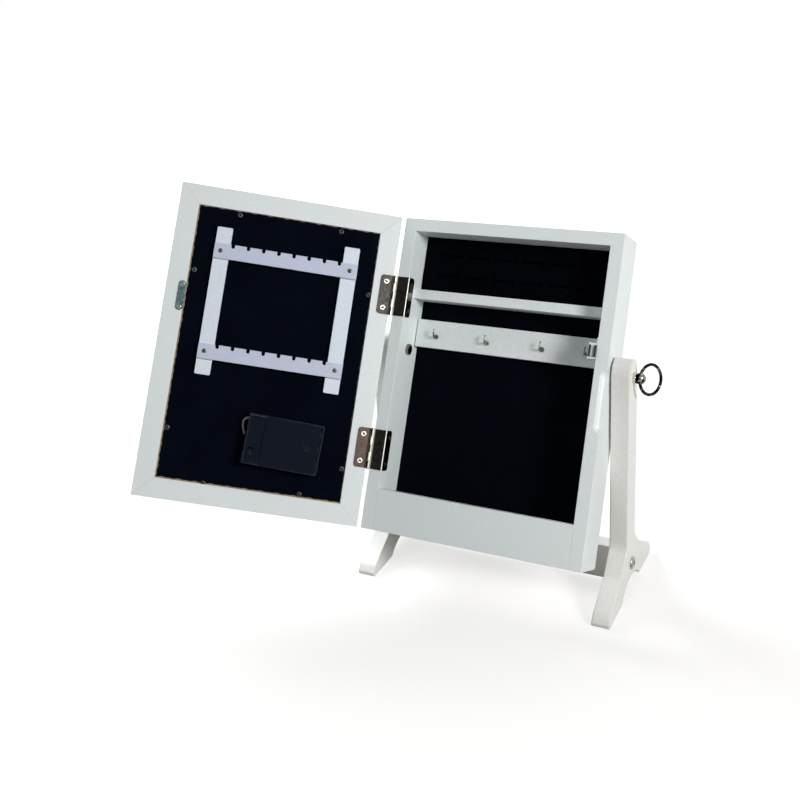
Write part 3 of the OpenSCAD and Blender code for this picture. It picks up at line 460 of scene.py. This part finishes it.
def local(tree, axes, stretch=(1, 1, 1)):
    """Millimetres in one of the object's frames, from Object coordinates, then stretched by axis. The
    door's and the battery box's frames are left-handed, so their third axis is turned round for the
    rotation and back after it."""
    origin, a, b, c = axes
    hand = float(np.sign(np.cross(a, b) @ c))
    turn = Matrix([a.tolist(), b.tolist(), (hand * c).tolist()])
    shift = -(turn @ Vector(origin.tolist()))
    where = put(tree, "TexCoord", {}, "Object")
    at = put(tree, "Mapping", {"Vector": where, "Location": shift, "Rotation": turn.to_euler("XYZ")})
    sizes = [1000 * stretch[0], 1000 * stretch[1], 1000 * stretch[2] * hand]
    return put(tree, "VectorMath", {0: at, 1: sizes}, operation="MULTIPLY")


def noise(tree, at, scale, detail=2.0, rough=0.5, warp=0.0):
    """Fractal noise of a given count of features to the millimetre."""
    return put(tree, "TexNoise", {"Vector": at, "Scale": scale, "Detail": detail,
                                  "Roughness": rough, "Distortion": warp})


def ramp(tree, value, low, high, to_low=0.0, to_high=1.0):
    """Smooth step of a value between low and high."""
    return put(tree, "MapRange", {0: value, 1: low, 2: high, 3: to_low, 4: to_high},
               interpolation_type="SMOOTHSTEP")


def maths(tree, operation, a, b=0.0):
    """A sum, product or other operation on one or two numbers."""
    return put(tree, "Math", {0: a, 1: b}, operation=operation)


def blend(tree, share, a, b):
    """Mix of two colours: a at share 0, b at share 1."""
    return put(tree, "Mix", {0: share, 6: a, 7: b}, 2, data_type="RGBA")


def new_finish(name, metal=0.0, **sockets):
    """A material and its node tree; constant values go on the shader's own sockets."""
    made = bpy.data.materials.new(name)
    made.use_nodes = True
    tree = made.node_tree
    shader = tree.nodes["Principled BSDF"]
    shader.inputs["Metallic"].default_value = metal
    for key, value in sockets.items():
        shader.inputs[key.replace("_", " ")].default_value = value
    return made, tree, shader


def join(tree, shader, colour, rough, height, strength, distance, normal=None):
    """Links colour and roughness, and a bump of the height laid over a normal."""
    tree.links.new(colour, shader.inputs["Base Color"])
    tree.links.new(rough, shader.inputs["Roughness"])
    inputs = {"Strength": strength, "Distance": distance, "Height": height}
    if normal is not None:
        inputs["Normal"] = normal
    tree.links.new(put(tree, "Bump", inputs), shader.inputs["Normal"])


def eased_edge(tree, radius):
    """Normal rounded over edges by a radius in metres, and a mask of how far it leaves the face's
    own."""
    round_normal = put(tree, "Bevel", {"Radius": radius}, samples=6)
    own = put(tree, "NewGeometry", {}, "Normal")
    dot = put(tree, "VectorMath", {0: round_normal, 1: own}, "Value", operation="DOT_PRODUCT")
    return round_normal, ramp(tree, dot, 0.985, 0.80)


def painted_wood(name, colour, worn, axes, grain, round_edge=0.0009):
    """Satin paint on wood: faint fibres along the grain, a sprayed skin of fine ripples and mottling,
    small sunken specks, a slow drift between a cool and a warm tone, pale scuffs along the grain,
    and edges rounded by round_edge, lightened near white there as a painted highlight and rubbed
    thin in places."""
    made, tree, shader = new_finish(name, Specular_IOR_Level=0.4, Coat_Weight=0.3, Coat_Roughness=0.18)
    stretch = [0.05 if i == grain else 1.3 for i in range(3)]
    at = local(tree, axes)
    fibres = noise(tree, local(tree, axes, stretch), 1.1, 5, 0.62, 0.6)
    skin = noise(tree, at, 0.75, 2)
    mottle = noise(tree, at, 0.72, 3, 0.75)
    drift = noise(tree, at, 0.011, 2)
    warmth = noise(tree, at, 0.019, 3, 0.6)
    drawn = local(tree, axes, [0.04 if i == grain else 0.9 for i in range(3)])
    long_marks = noise(tree, drawn, 0.8, 3, 0.6)
    spots = put(tree, "TexVoronoi", {"Vector": at, "Scale": 0.14}, "Distance")
    rare = ramp(tree, noise(tree, at, 0.05, 1), 0.56, 0.64)
    speck = maths(tree, "MULTIPLY", ramp(tree, spots, 0.07, 0.035), rare)
    scuff = maths(tree, "MULTIPLY", ramp(tree, long_marks, 0.66, 0.74), ramp(tree, mottle, 0.42, 0.6))
    normal, edge = eased_edge(tree, round_edge)
    rub = maths(tree, "MULTIPLY", edge, ramp(tree, noise(tree, at, 0.16, 4, 0.65), 0.5, 0.72))
    base = blend(tree, ramp(tree, drift, 0.3, 0.7), scaled(colour, 0.965), colour)
    base = blend(tree, maths(tree, "MULTIPLY", ramp(tree, warmth, 0.45, 0.7), 0.6), base,
                 [colour[0], colour[1] * 0.965, colour[2] * 0.945, 1])
    base = blend(tree, maths(tree, "MULTIPLY", ramp(tree, fibres, 0.62, 0.35), 0.1), base,
                 scaled(colour, 0.8))
    base = blend(tree, ramp(tree, mottle, 0.60, 0.38), base, scaled(colour, 0.89))
    base = blend(tree, maths(tree, "MULTIPLY", scuff, 0.5), base, tone(250, 250, 246))
    base = blend(tree, maths(tree, "MULTIPLY", speck, 0.45), base, tone(120, 118, 112))
    # Painted highlight: the rounded edges are lightened near white, as if catching the light.
    base = blend(tree, maths(tree, "MULTIPLY", edge, 0.55), base, tone(254, 254, 252))
    base = blend(tree, maths(tree, "MULTIPLY", rub, 0.35), base, worn)
    rough = ramp(tree, skin, 0.2, 0.8, 0.38, 0.52)
    height = maths(tree, "ADD", maths(tree, "MULTIPLY", fibres, 0.8),
                   maths(tree, "MULTIPLY", mottle, 0.6))
    height = maths(tree, "SUBTRACT", height, maths(tree, "MULTIPLY", speck, 1.5))
    join(tree, shader, base, rough, height, 0.4, 0.00008, normal)
    return made


def pile(name, colour, lint, axes, coarse):
    """Short-pile cloth: a mat of crossed fibres, cloudy nap, and sparse pale lint."""
    made, tree, shader = new_finish(name, Specular_IOR_Level=0.02, Sheen_Weight=0.004,
                                    Sheen_Roughness=0.5)
    shader.inputs["Sheen Tint"].default_value = tone(120, 150, 220)
    at = local(tree, axes)
    hairs = noise(tree, local(tree, axes, (1, 0.45, 1)), 3.2 * coarse, 4, 0.7, 1.4)
    crossed = noise(tree, local(tree, axes, (0.45, 1, 1)), 3.0 * coarse, 4, 0.7, 1.6)
    mat = maths(tree, "MAXIMUM", hairs, crossed)
    nap = noise(tree, at, 0.03, 3, 0.55, 0.4)
    base = blend(tree, ramp(tree, nap, 0.35, 0.7), colour, scaled(colour, 1.5))
    base = blend(tree, ramp(tree, mat, 0.5, 0.72), base, scaled(colour, 2.0, 0.0002))
    strewn = local(tree, axes, (1, 0.5, 1))
    dots = put(tree, "TexVoronoi", {"Vector": strewn, "Scale": 0.21}, "Distance")
    few = ramp(tree, noise(tree, at, 0.09, 1), 0.60, 0.66)
    fluff = maths(tree, "MULTIPLY", ramp(tree, dots, 0.055, 0.03), few)
    base = blend(tree, maths(tree, "MULTIPLY", fluff, 0.7), base, lint)
    rough = ramp(tree, mat, 0.3, 0.7, 1.0, 0.86)
    join(tree, shader, base, rough, mat, 0.9, 0.00022)
    return made


def moulded(name, colour, low, high, fine, axes=STAND, sheen=0.5, edge_tone=None, rub_and_highlight=0.5,
            where=None):
    """Moulded plastic: an etched grain, a slow drift of gloss from low to high roughness, and rounded
    edges lightened, partly as rubbed wear and partly as a painted highlight, which a mask can keep
    to one place."""
    made, tree, shader = new_finish(name, Specular_IOR_Level=sheen)
    at = local(tree, axes)
    grain = noise(tree, at, fine, 3, 0.6)
    drift = noise(tree, at, 0.06, 3, 0.5, 0.5)
    normal, edge = eased_edge(tree, 0.0004)
    if where:
        edge = maths(tree, "MULTIPLY", edge, where(tree))
    base = blend(tree, ramp(tree, drift, 0.3, 0.7), colour, scaled(colour, 1.22))
    # Edge lightening, partly rubbed wear and partly a painted highlight.
    rub = maths(tree, "MULTIPLY", edge, rub_and_highlight)
    base = blend(tree, rub, base, edge_tone or scaled(colour, 1.5))
    join(tree, shader, base, ramp(tree, drift, 0.3, 0.7, low, high), grain, 0.5, 0.00004, normal)
    return made


def plated(name, colour, dull, low, high, axes=STAND, brush=(1, 1, 1), fine=2.0, edge_tone=None,
           extra=None):
    """Plated or bare metal: fine brushed or tumbled marks, patches where the shine has dulled, and
    edges tinted by an edge tone: by default lighter, partly polish from handling and partly a
    painted highlight; a darker given tone is a painted shadow."""
    made, tree, shader = new_finish(name, metal=1.0)
    at = local(tree, axes)
    marks = noise(tree, local(tree, axes, brush), fine, 4, 0.65, 0.3)
    patches = noise(tree, at, 0.35, 4, 0.6, 0.8)
    normal, edge = eased_edge(tree, 0.00035)
    base = blend(tree, ramp(tree, patches, 0.35, 0.68), colour, dull)
    # Edge tint: lighter tones are a painted highlight, partly polish from handling; a dark tone is a
    # painted shadow.
    base = blend(tree, maths(tree, "MULTIPLY", edge, 0.7), base, edge_tone or scaled(colour, 1.6))
    if extra:
        base = extra(tree, base)
    rough = maths(tree, "ADD", ramp(tree, patches, 0.3, 0.75, low, high),
                  ramp(tree, marks, 0.3, 0.7, 0.0, 0.08))
    join(tree, shader, base, rough, marks, 0.35, 0.00003, normal)
    return made


def recess_and_rim_shade(heart, outline):
    """Screw head: painted shade in the middle recess, a painted shadow where rim meets seat."""
    def tint(tree, base):
        """Base, with painted shade near the middle and a painted shadow at the rim."""
        r = put(tree, "Attribute", {}, "Fac", attribute_name="along")
        base = blend(tree, ramp(tree, r, 0.40, 0.30), base, heart)
        return blend(tree, ramp(tree, r, 0.84, 0.90), base, outline)
    return tint


def dark_reflection_patches(tree, base):
    """Painted reflections: cloudy near-black patches over chrome, as a dark room mirrored in it."""
    cloud = noise(tree, local(tree, STAND), 0.19, 2, 0.5, 0.6)
    return blend(tree, ramp(tree, cloud, 0.46, 0.53), base, tone(10, 10, 10))


def painted_glints(tree, base):
    """Painted glints: small pale places on black plating where it would catch the light."""
    glint_cloud = noise(tree, local(tree, STAND), 0.3, 2, 0.6)
    return blend(tree, ramp(tree, glint_cloud, 0.55, 0.67), base, tone(140, 138, 134))


def along_axis(tree, axes, number):
    """One coordinate, in millimetres, in one of the object's frames."""
    return put(tree, "SeparateXYZ", {0: local(tree, axes)}, number)


def near(tree, a, b, radius, fade=0.25):
    """Mask of the places where the length of (a, b) is under a radius."""
    square = maths(tree, "ADD", maths(tree, "MULTIPLY", a, a), maths(tree, "MULTIPLY", b, b))
    return ramp(tree, maths(tree, "SQRT", square), radius + fade, radius - fade)


def box_rim_highlight(tree):
    """Mask of the battery box's outer rim, a few millimetres wide, where a painted highlight goes."""
    x, y = (maths(tree, "ABSOLUTE", along_axis(tree, BOX, k)) for k in (0, 1))
    return maths(tree, "MAXIMUM", ramp(tree, x, 31.5, 33.0), ramp(tree, y, 19.5, 21.0))


def finger_mark(tree):
    """Mask of the far part of the battery box's lid, which has the raised finger mark; there the
    lid's edges are lightened, partly as rubbed wear and partly as a painted highlight.
    """
    return ramp(tree, along_axis(tree, BOX, 0), 10.0, 8.0)


def barrel_highlight_and_shade(tree, base, bright, turn):
    """Hinge barrel: round the pin line, a painted highlight in warm nickel on its open side, and
    painted shade on the side that turns to the leaf."""
    x = maths(tree, "ADD", along_axis(tree, CASE, 0), PIN_LEFT * 1000)
    y = maths(tree, "ADD", along_axis(tree, CASE, 1), PIN_OUT * 1000)
    side = maths(tree, "ADD", maths(tree, "MULTIPLY", x, 0.91), maths(tree, "MULTIPLY", y, 0.42))
    shade = blend(tree, ramp(tree, side, turn - 0.3, turn + 0.2), tone(38, 36, 33), bright)
    return blend(tree, near(tree, x, y, 2.45, 0.12), base, shade)


def door_leaf_painted_light(tree, base):
    """Door leaf: painted shade in a strip beside the barrel, and the barrel's painted highlight and
    shade.
    """
    beside = ramp(tree, along_axis(tree, DOOR, 0), 2.0, 1.5)
    return barrel_highlight_and_shade(tree, blend(tree, beside, base, tone(40, 38, 35)), tone(202, 198, 186), -0.9)


def case_leaf_highlights_and_patch(tree, base):
    """Case leaf: a painted highlight along its bend, a lighter grey patch on the upper wing, and the
    barrel's painted highlight and shade.
    """
    x, y, h = (along_axis(tree, CASE, k) for k in range(3))
    # Painted highlight along the bend of the leaf.
    bend = near(tree, maths(tree, "ADD", x, 94.4), maths(tree, "ADD", y, 1.1), 0.75, 0.2)
    # A lighter grey patch in the middle of the upper wing.
    from_middle = maths(tree, "MULTIPLY", maths(tree, "SUBTRACT", y, 6.0), 0.5)
    patch = near(tree, maths(tree, "SUBTRACT", h, 224.0), from_middle, 4.0)
    worn = maths(tree, "MULTIPLY", patch, ramp(tree, x, -94.9, -94.6))
    base = blend(tree, worn, base, tone(150, 148, 142))
    return barrel_highlight_and_shade(tree, blend(tree, bend, base, tone(240, 234, 222)), tone(170, 165, 152), -0.2)


def fibreboard(name):
    """Hardboard: pressed brown fibres in a close speckle, a few dark bits."""
    made, tree, shader = new_finish(name, Specular_IOR_Level=0.3)
    at = local(tree, CASE)
    chips = noise(tree, at, 1.4, 6, 0.75, 0.8)
    cloud = noise(tree, at, 0.05, 3)
    base = blend(tree, ramp(tree, chips, 0.35, 0.65), tone(112, 88, 68), tone(172, 146, 120))
    pale = maths(tree, "MULTIPLY", ramp(tree, cloud, 0.3, 0.7), 0.2)
    base = blend(tree, pale, base, tone(190, 170, 148))
    join(tree, shader, base, ramp(tree, chips, 0.3, 0.7, 0.62, 0.8), chips, 0.5, 0.00012)
    return made


def mirror_finish(name):
    """Silvered glass whose backing is sandblasted away in a frosted window over each light strip;
    faint wipe marks change the gloss of the rest."""
    made, tree, shader = new_finish(name)
    at = local(tree, DOOR)
    u, v = (along_axis(tree, DOOR, k) for k in (0, 1))
    u = maths(tree, "ABSOLUTE", maths(tree, "SUBTRACT", u, DOOR_W / 2))
    v = maths(tree, "ABSOLUTE", maths(tree, "SUBTRACT", v, DOOR_H / 2))
    across = maths(tree, "ABSOLUTE", maths(tree, "SUBTRACT", u, DOOR_W / 2 - STRIP_IN))
    window = maths(tree, "MULTIPLY", ramp(tree, across, WINDOW_X + 0.2, WINDOW_X - 0.2),
                   ramp(tree, v, WINDOW_Y + 0.2, WINDOW_Y - 0.2))
    wipe = noise(tree, local(tree, DOOR, (0.5, 1, 1)), 0.03, 4, 0.6, 1.2)
    frost = noise(tree, at, 4.0, 2)
    base = blend(tree, window, tone(228, 233, 234), tone(206, 213, 216))
    rough = maths(tree, "ADD", ramp(tree, wipe, 0.35, 0.75, 0.012, 0.05),
                  maths(tree, "MULTIPLY", window, 0.55))
    metal = maths(tree, "SUBTRACT", 1.0, maths(tree, "MULTIPLY", window, 0.85))
    tree.links.new(metal, shader.inputs["Metallic"])
    join(tree, shader, base, rough, maths(tree, "MULTIPLY", frost, window), 0.4, 0.00004)
    return made


def light_strip(name):
    """White flexible strip with yellow phosphor squares at an even pitch and copper pads between."""
    made, tree, shader = new_finish(name)
    step = maths(tree, "MODULO", along_axis(tree, DOOR, 1), LAMP_PITCH)
    beat = maths(tree, "ABSOLUTE", maths(tree, "SUBTRACT", step, LAMP_PITCH / 2))
    lamp = ramp(tree, beat, 1.6, 1.4)
    pad = maths(tree, "MULTIPLY", ramp(tree, beat, 6.4, 6.7), ramp(tree, beat, 8.0, 7.7))
    weave = noise(tree, local(tree, DOOR), 1.5, 3)
    base = blend(tree, lamp, tone(238, 238, 232), tone(238, 214, 96))
    base = blend(tree, pad, base, tone(190, 120, 70))
    join(tree, shader, base, ramp(tree, weave, 0.3, 0.7, 0.35, 0.5), weave, 0.3, 0.00005)
    return made


def cell_sleeve(name):
    """Plain shrink sleeve over a steel can: bare steel beyond the sleeve's ends, a band by the cap."""
    made, tree, shader = new_finish(name)
    x = along_axis(tree, BOX, 0)
    bare = maths(tree, "MAXIMUM", ramp(tree, x, -29.9, -30.1), ramp(tree, x, 17.4, 17.6))
    band = maths(tree, "MULTIPLY", ramp(tree, x, 6.9, 7.1), ramp(tree, x, 17.2, 17.0))
    grain = noise(tree, local(tree, BOX, (0.3, 1, 1)), 1.2, 4)
    base = blend(tree, band, tone(58, 82, 112), tone(176, 168, 150))
    base = blend(tree, bare, base, tone(200, 200, 198))
    tree.links.new(bare, shader.inputs["Metallic"])
    join(tree, shader, base, ramp(tree, grain, 0.3, 0.7, 0.24, 0.36), grain, 0.2, 0.00004)
    return made


def all_finishes():
    """Every finish of the object by name."""
    cool, warm = tone(234, 241, 242), tone(240, 240, 236)
    lilac, bare = tone(200, 206, 230), tone(206, 198, 184)
    upward = (1, 1, 0.4)
    return {
        "case_upright": painted_wood("case_paint_upright", cool, bare, CASE, 2),
        "case_level": painted_wood("case_paint_level", cool, bare, CASE, 0),
        "door_upright": painted_wood("door_paint_upright", cool, bare, DOOR, 1),
        "door_level": painted_wood("door_paint_level", cool, bare, DOOR, 0),
        "stand_upright": painted_wood("stand_paint_upright", warm, bare, STAND, 2, 0.002),
        "stand_level": painted_wood("stand_paint_level", warm, bare, STAND, 0, 0.0015),
        "rack_rail": painted_wood("rack_rail_paint", lilac, bare, DOOR, 0, 0.0006),
        "rack_bar": painted_wood("rack_bar_paint", tone(226, 235, 246), bare, DOOR, 1, 0.0006),
        # The case's felt and lint are the door's made darker: painted shade for the inside of the case.
        "felt_case": pile("back_felt_pile", tone(3, 5, 11), tone(120, 122, 128), CASE, 1.0),
        "felt_door": pile("panel_felt_pile", tone(4, 7, 16), tone(150, 152, 158), DOOR, 1.0),
        "velvet": pile("cushion_velvet", tone(2, 3, 7), tone(80, 82, 92), CASE, 1.3),
        "fibreboard": fibreboard("pressed_fibreboard"),
        "mirror": mirror_finish("silvered_mirror"),
        "led_strip": light_strip("light_strip_tape"),
        "cell_wrap": cell_sleeve("cell_sleeve"),
        "nickel": plated("polished_nickel", tone(222, 214, 198), tone(180, 170, 150), 0.08, 0.2),
        # The knob's dark patches are painted reflections.
        "knob_chrome": plated("knob_chrome", tone(150, 146, 138), tone(120, 116, 108), 0.05, 0.12,
                              extra=dark_reflection_patches),
        "nut_nickel": plated("nut_nickel", tone(150, 146, 138), tone(96, 92, 86), 0.14, 0.3),
        "hook_nickel": plated("hook_nickel", tone(124, 120, 112), tone(66, 62, 57), 0.14, 0.28),
        "leaf_upper": plated("hinge_leaf_upper", tone(70, 69, 65), tone(46, 45, 43), 0.3, 0.44,
                             DOOR, upward, 1.6, tone(96, 94, 86), door_leaf_painted_light),
        # The lower door leaf's brownish tint is a painted reflection.
        "leaf_lower": plated("hinge_leaf_lower", tone(84, 72, 66), tone(64, 54, 50), 0.3, 0.44,
                             DOOR, upward, 1.6, tone(104, 92, 86), door_leaf_painted_light),
        "case_leaf": plated("hinge_case_leaf", tone(30, 29, 27), tone(18, 17, 16), 0.26, 0.4,
                            CASE, upward, 1.6, tone(92, 88, 78), case_leaf_highlights_and_patch),
        "pin_nickel": plated("hinge_pin", tone(214, 206, 190), tone(150, 142, 128), 0.2, 0.34,
                             CASE, upward, 1.6),
        # The rings' pale spots are painted glints, and their lighter edge tone a painted highlight.
        "black_steel": plated("black_steel", tone(20, 20, 21), tone(10, 10, 11), 0.12, 0.26,
                              fine=1.2, edge_tone=tone(60, 60, 62), extra=painted_glints),
        "panel_screw": plated("panel_screw", tone(74, 73, 72), tone(44, 42, 40), 0.2, 0.34, DOOR,
                              extra=recess_and_rim_shade(tone(26, 26, 28), tone(14, 15, 18))),
        "rack_screw": plated("rack_screw", tone(104, 106, 96), tone(62, 64, 56), 0.2, 0.34, DOOR,
                             extra=recess_and_rim_shade(tone(34, 34, 30), tone(40, 40, 38))),
        "bright_screw": plated("bright_screw", tone(238, 236, 228), tone(196, 192, 182), 0.16, 0.28,
                               DOOR, extra=recess_and_rim_shade(tone(52, 50, 46), tone(52, 48, 44))),
        "bolt_steel": plated("zinc_steel", tone(172, 174, 172), tone(118, 122, 118), 0.24, 0.42),
        "pole_steel": plated("catch_pole_steel", tone(52, 50, 50), tone(24, 23, 23), 0.35, 0.5),
        # The strike plate's dark edge tone is a painted shadow in the gap round it.
        "strike_zinc": plated("strike_zinc", tone(96, 116, 117), tone(58, 72, 74), 0.2, 0.36,
                              DOOR, (1, 0.2, 1), edge_tone=tone(18, 24, 25)),
        "strike_screw": plated("strike_screw", tone(150, 162, 160), tone(96, 108, 108), 0.2, 0.34,
                               DOOR, extra=recess_and_rim_shade(tone(60, 72, 74), tone(40, 48, 50))),
        "washer_nylon": moulded("washer_nylon", tone(226, 224, 214), 0.4, 0.5, 1.5),
        "catch_plastic": moulded("catch_plastic", tone(222, 224, 232), 0.34, 0.46, 1.2, CASE),
        # The battery box's pale rim lines are a painted highlight; on the lid, the edges of the finger
        # mark are lightened partly as wear and partly as a painted highlight.
        "box_plastic": moulded("battery_box_plastic", tone(15, 20, 30), 0.5, 0.62, 2.6, BOX, 0.03,
                               tone(150, 155, 162), 0.85, box_rim_highlight),
        "lid_plastic": moulded("battery_lid_plastic", tone(15, 20, 30), 0.5, 0.62, 2.6, BOX, 0.03,
                               tone(96, 102, 110), 0.5, finger_mark),
        "switch_plastic": moulded("switch_plastic", tone(8, 9, 13), 0.4, 0.5, 2.2, BOX, 0.1,
                                  rub_and_highlight=0.2),
        "lead_pvc": moulded("lead_plastic", tone(146, 146, 146), 0.4, 0.55, 0.8, DOOR)}


# Finish of every solid, by the finish's name
DRESS = {
    "case_upright": "side_left side_right",
    "case_level": "top_board front_rail bottom_board shelf hook_rail",
    "door_upright": "door_stile_hinge door_stile_free",
    "door_level": "door_rail_top door_rail_bottom",
    "stand_upright": "upright_right upright_left",
    "stand_level": "stretcher",
    "rack_bar": "rack_bar_hinge rack_bar_free",
    "rack_rail": "rack_rail_top rack_rail_low",
    "felt_case": "back_felt",
    "felt_door": "backing_felt",
    "velvet": "ring_cushion",
    "fibreboard": "back_board backing_board",
    "mirror": "mirror_glass",
    "led_strip": "led_strip_hinge led_strip_free",
    "cell_wrap": "cell_1 cell_2 cell_3",
    "nickel": "collar_right collar_left",
    "knob_chrome": "knob_right knob_left",
    "nut_nickel": "pivot_nut_right pivot_nut_left",
    "hook_nickel": "hook_1 hook_2 hook_3 hook_4",
    "leaf_upper": "hinge_top_door_leaf",
    "leaf_lower": "hinge_low_door_leaf",
    "case_leaf": "hinge_top_case_leaf hinge_low_case_leaf",
    "pin_nickel": "hinge_top_pin hinge_low_pin",
    "black_steel": "ring_right ring_left",
    "bolt_steel": "stretcher_bolt_right stretcher_bolt_left",
    "pole_steel": "catch_pole_1 catch_pole_2",
    "strike_zinc": "strike_plate",
    "washer_nylon": "pivot_washer_right pivot_washer_left",
    "catch_plastic": "catch_body",
    "box_plastic": "battery_case",
    "lid_plastic": "battery_lid",
    "switch_plastic": "battery_switch",
    "lead_pvc": "lead"}


def dress(finishes):
    """Gives every solid its finish."""
    for finish_name, names in DRESS.items():
        for node_name in names.split():
            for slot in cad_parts[node_name].material_slots:
                slot.material = finishes[finish_name]


# Studio

def lamp(name, at, aim, size, watts, colour):
    """Square soft lamp at a point, aimed at another."""
    data = bpy.data.lights.new(name, "AREA")
    data.size, data.energy, data.color = size, watts, colour
    made = bpy.data.objects.new(name, data)
    made.location = at
    made.rotation_euler = (Vector(aim) - Vector(at)).to_track_quat("-Z", "Y").to_euler()
    bpy.context.scene.collection.objects.link(made)


def seen_share(tree):
    """1 for rays from the camera and through gloss or glass, else 0."""
    path = tree.nodes.new("ShaderNodeLightPath")
    gloss = maths(tree, "MAXIMUM", path.outputs["Is Glossy Ray"], path.outputs["Is Transmission Ray"])
    return maths(tree, "MAXIMUM", path.outputs["Is Camera Ray"], gloss)


def room_and_lamps():
    """A soft lamp at the right in front, broad ones high behind and on the left, a little room light,
    and a background that the camera and polished pieces see as white."""
    world = bpy.data.worlds.new("studio")
    bpy.context.scene.world = world
    world.use_nodes = True
    tree = world.node_tree
    tree.nodes.clear()
    room = put(tree, "Background", {"Color": (0.97, 0.985, 1.0, 1), "Strength": 0.05})
    white = put(tree, "Background", {"Color": (1, 1, 1, 1), "Strength": 1.0})
    mixed = put(tree, "MixShader", {0: seen_share(tree), 1: room, 2: white})
    put(tree, "OutputWorld", {"Surface": mixed})
    middle = (0.0, 0.0, 0.18)
    lamp("key_lamp", (1.75, -0.99, 1.15), middle, 0.6, 39.5, (1.0, 0.995, 0.985))
    lamp("left_lamp", (-1.8, 0.6, 1.8), middle, 1.2, 70, (0.96, 0.985, 1.0))
    lamp("back_lamp", (0.2, 1.8, 1.9), middle, 1.2, 12, (0.97, 0.985, 1.0))
    lamp("front_lamp", (-1.5, -1.9, 1.3), middle, 1.2, 5, (0.97, 0.985, 1.0))


def pale_floor():
    """A floor that takes the shadow and is lifted to white round it, as the camera sees it."""
    side, drop = 4.0, -0.0003
    mesh = bpy.data.meshes.new("floor")
    corners = [(-side, -side, drop), (side, -side, drop), (side, side, drop), (-side, side, drop)]
    mesh.from_pydata(corners, [], [(0, 1, 2, 3)])
    floor = bpy.data.objects.new("floor", mesh)
    bpy.context.scene.collection.objects.link(floor)
    pale = bpy.data.materials.new("pale_floor")
    pale.use_nodes = True
    tree = pale.node_tree
    tree.nodes.clear()
    here = put(tree, "TexCoord", {}, "Object")
    shade = blend(tree, noise(tree, here, 30.0, 3), (0.31, 0.30, 0.285, 1), (0.33, 0.32, 0.305, 1))
    matt = put(tree, "BsdfDiffuse", {"Color": shade})
    spread = put(tree, "VectorMath", {0: here}, "Value", operation="LENGTH")
    level = maths(tree, "MULTIPLY", seen_share(tree), ramp(tree, spread, 0.35, 0.8, 0.70, 1.0))
    glow = put(tree, "Emission", {"Color": (1, 1, 1, 1), "Strength": level})
    put(tree, "OutputMaterial", {"Surface": put(tree, "AddShader", {0: matt, 1: glow})})
    mesh.materials.append(pale)


# Making, with the camera and the lamp lead first

photo_camera()
finishes = all_finishes()
lamp_lead(finishes["lead_pvc"])
dress(finishes)
ring_cushion(finishes["velvet"])
panel_span = ((FRAME_W + 0.3, DOOR_W - FRAME_W - 1.0), (FRAME_W + 0.8, DOOR_H - FRAME_W - 0.2))
felt_sheet("panel_felt", DOOR, [0, 1, 2], panel_span, 0.9, BOARD_N, FELT_N, PANEL_SCREWS,
           "door", finishes["felt_door"], "backing_felt")
case_span = ((-INNER_X, INNER_X), (CASE_FLOOR, CASE_TOP))
felt_sheet("case_felt", CASE, [0, 2, 1], case_span, 0.0, BACK_Y, FELT_Y, [],
           "case", finishes["felt_case"], "back_felt")
screws(finishes)
contact_springs(finishes["nickel"])
room_and_lamps()
pale_floor()
bpy.context.scene.view_settings.view_transform = "Standard"
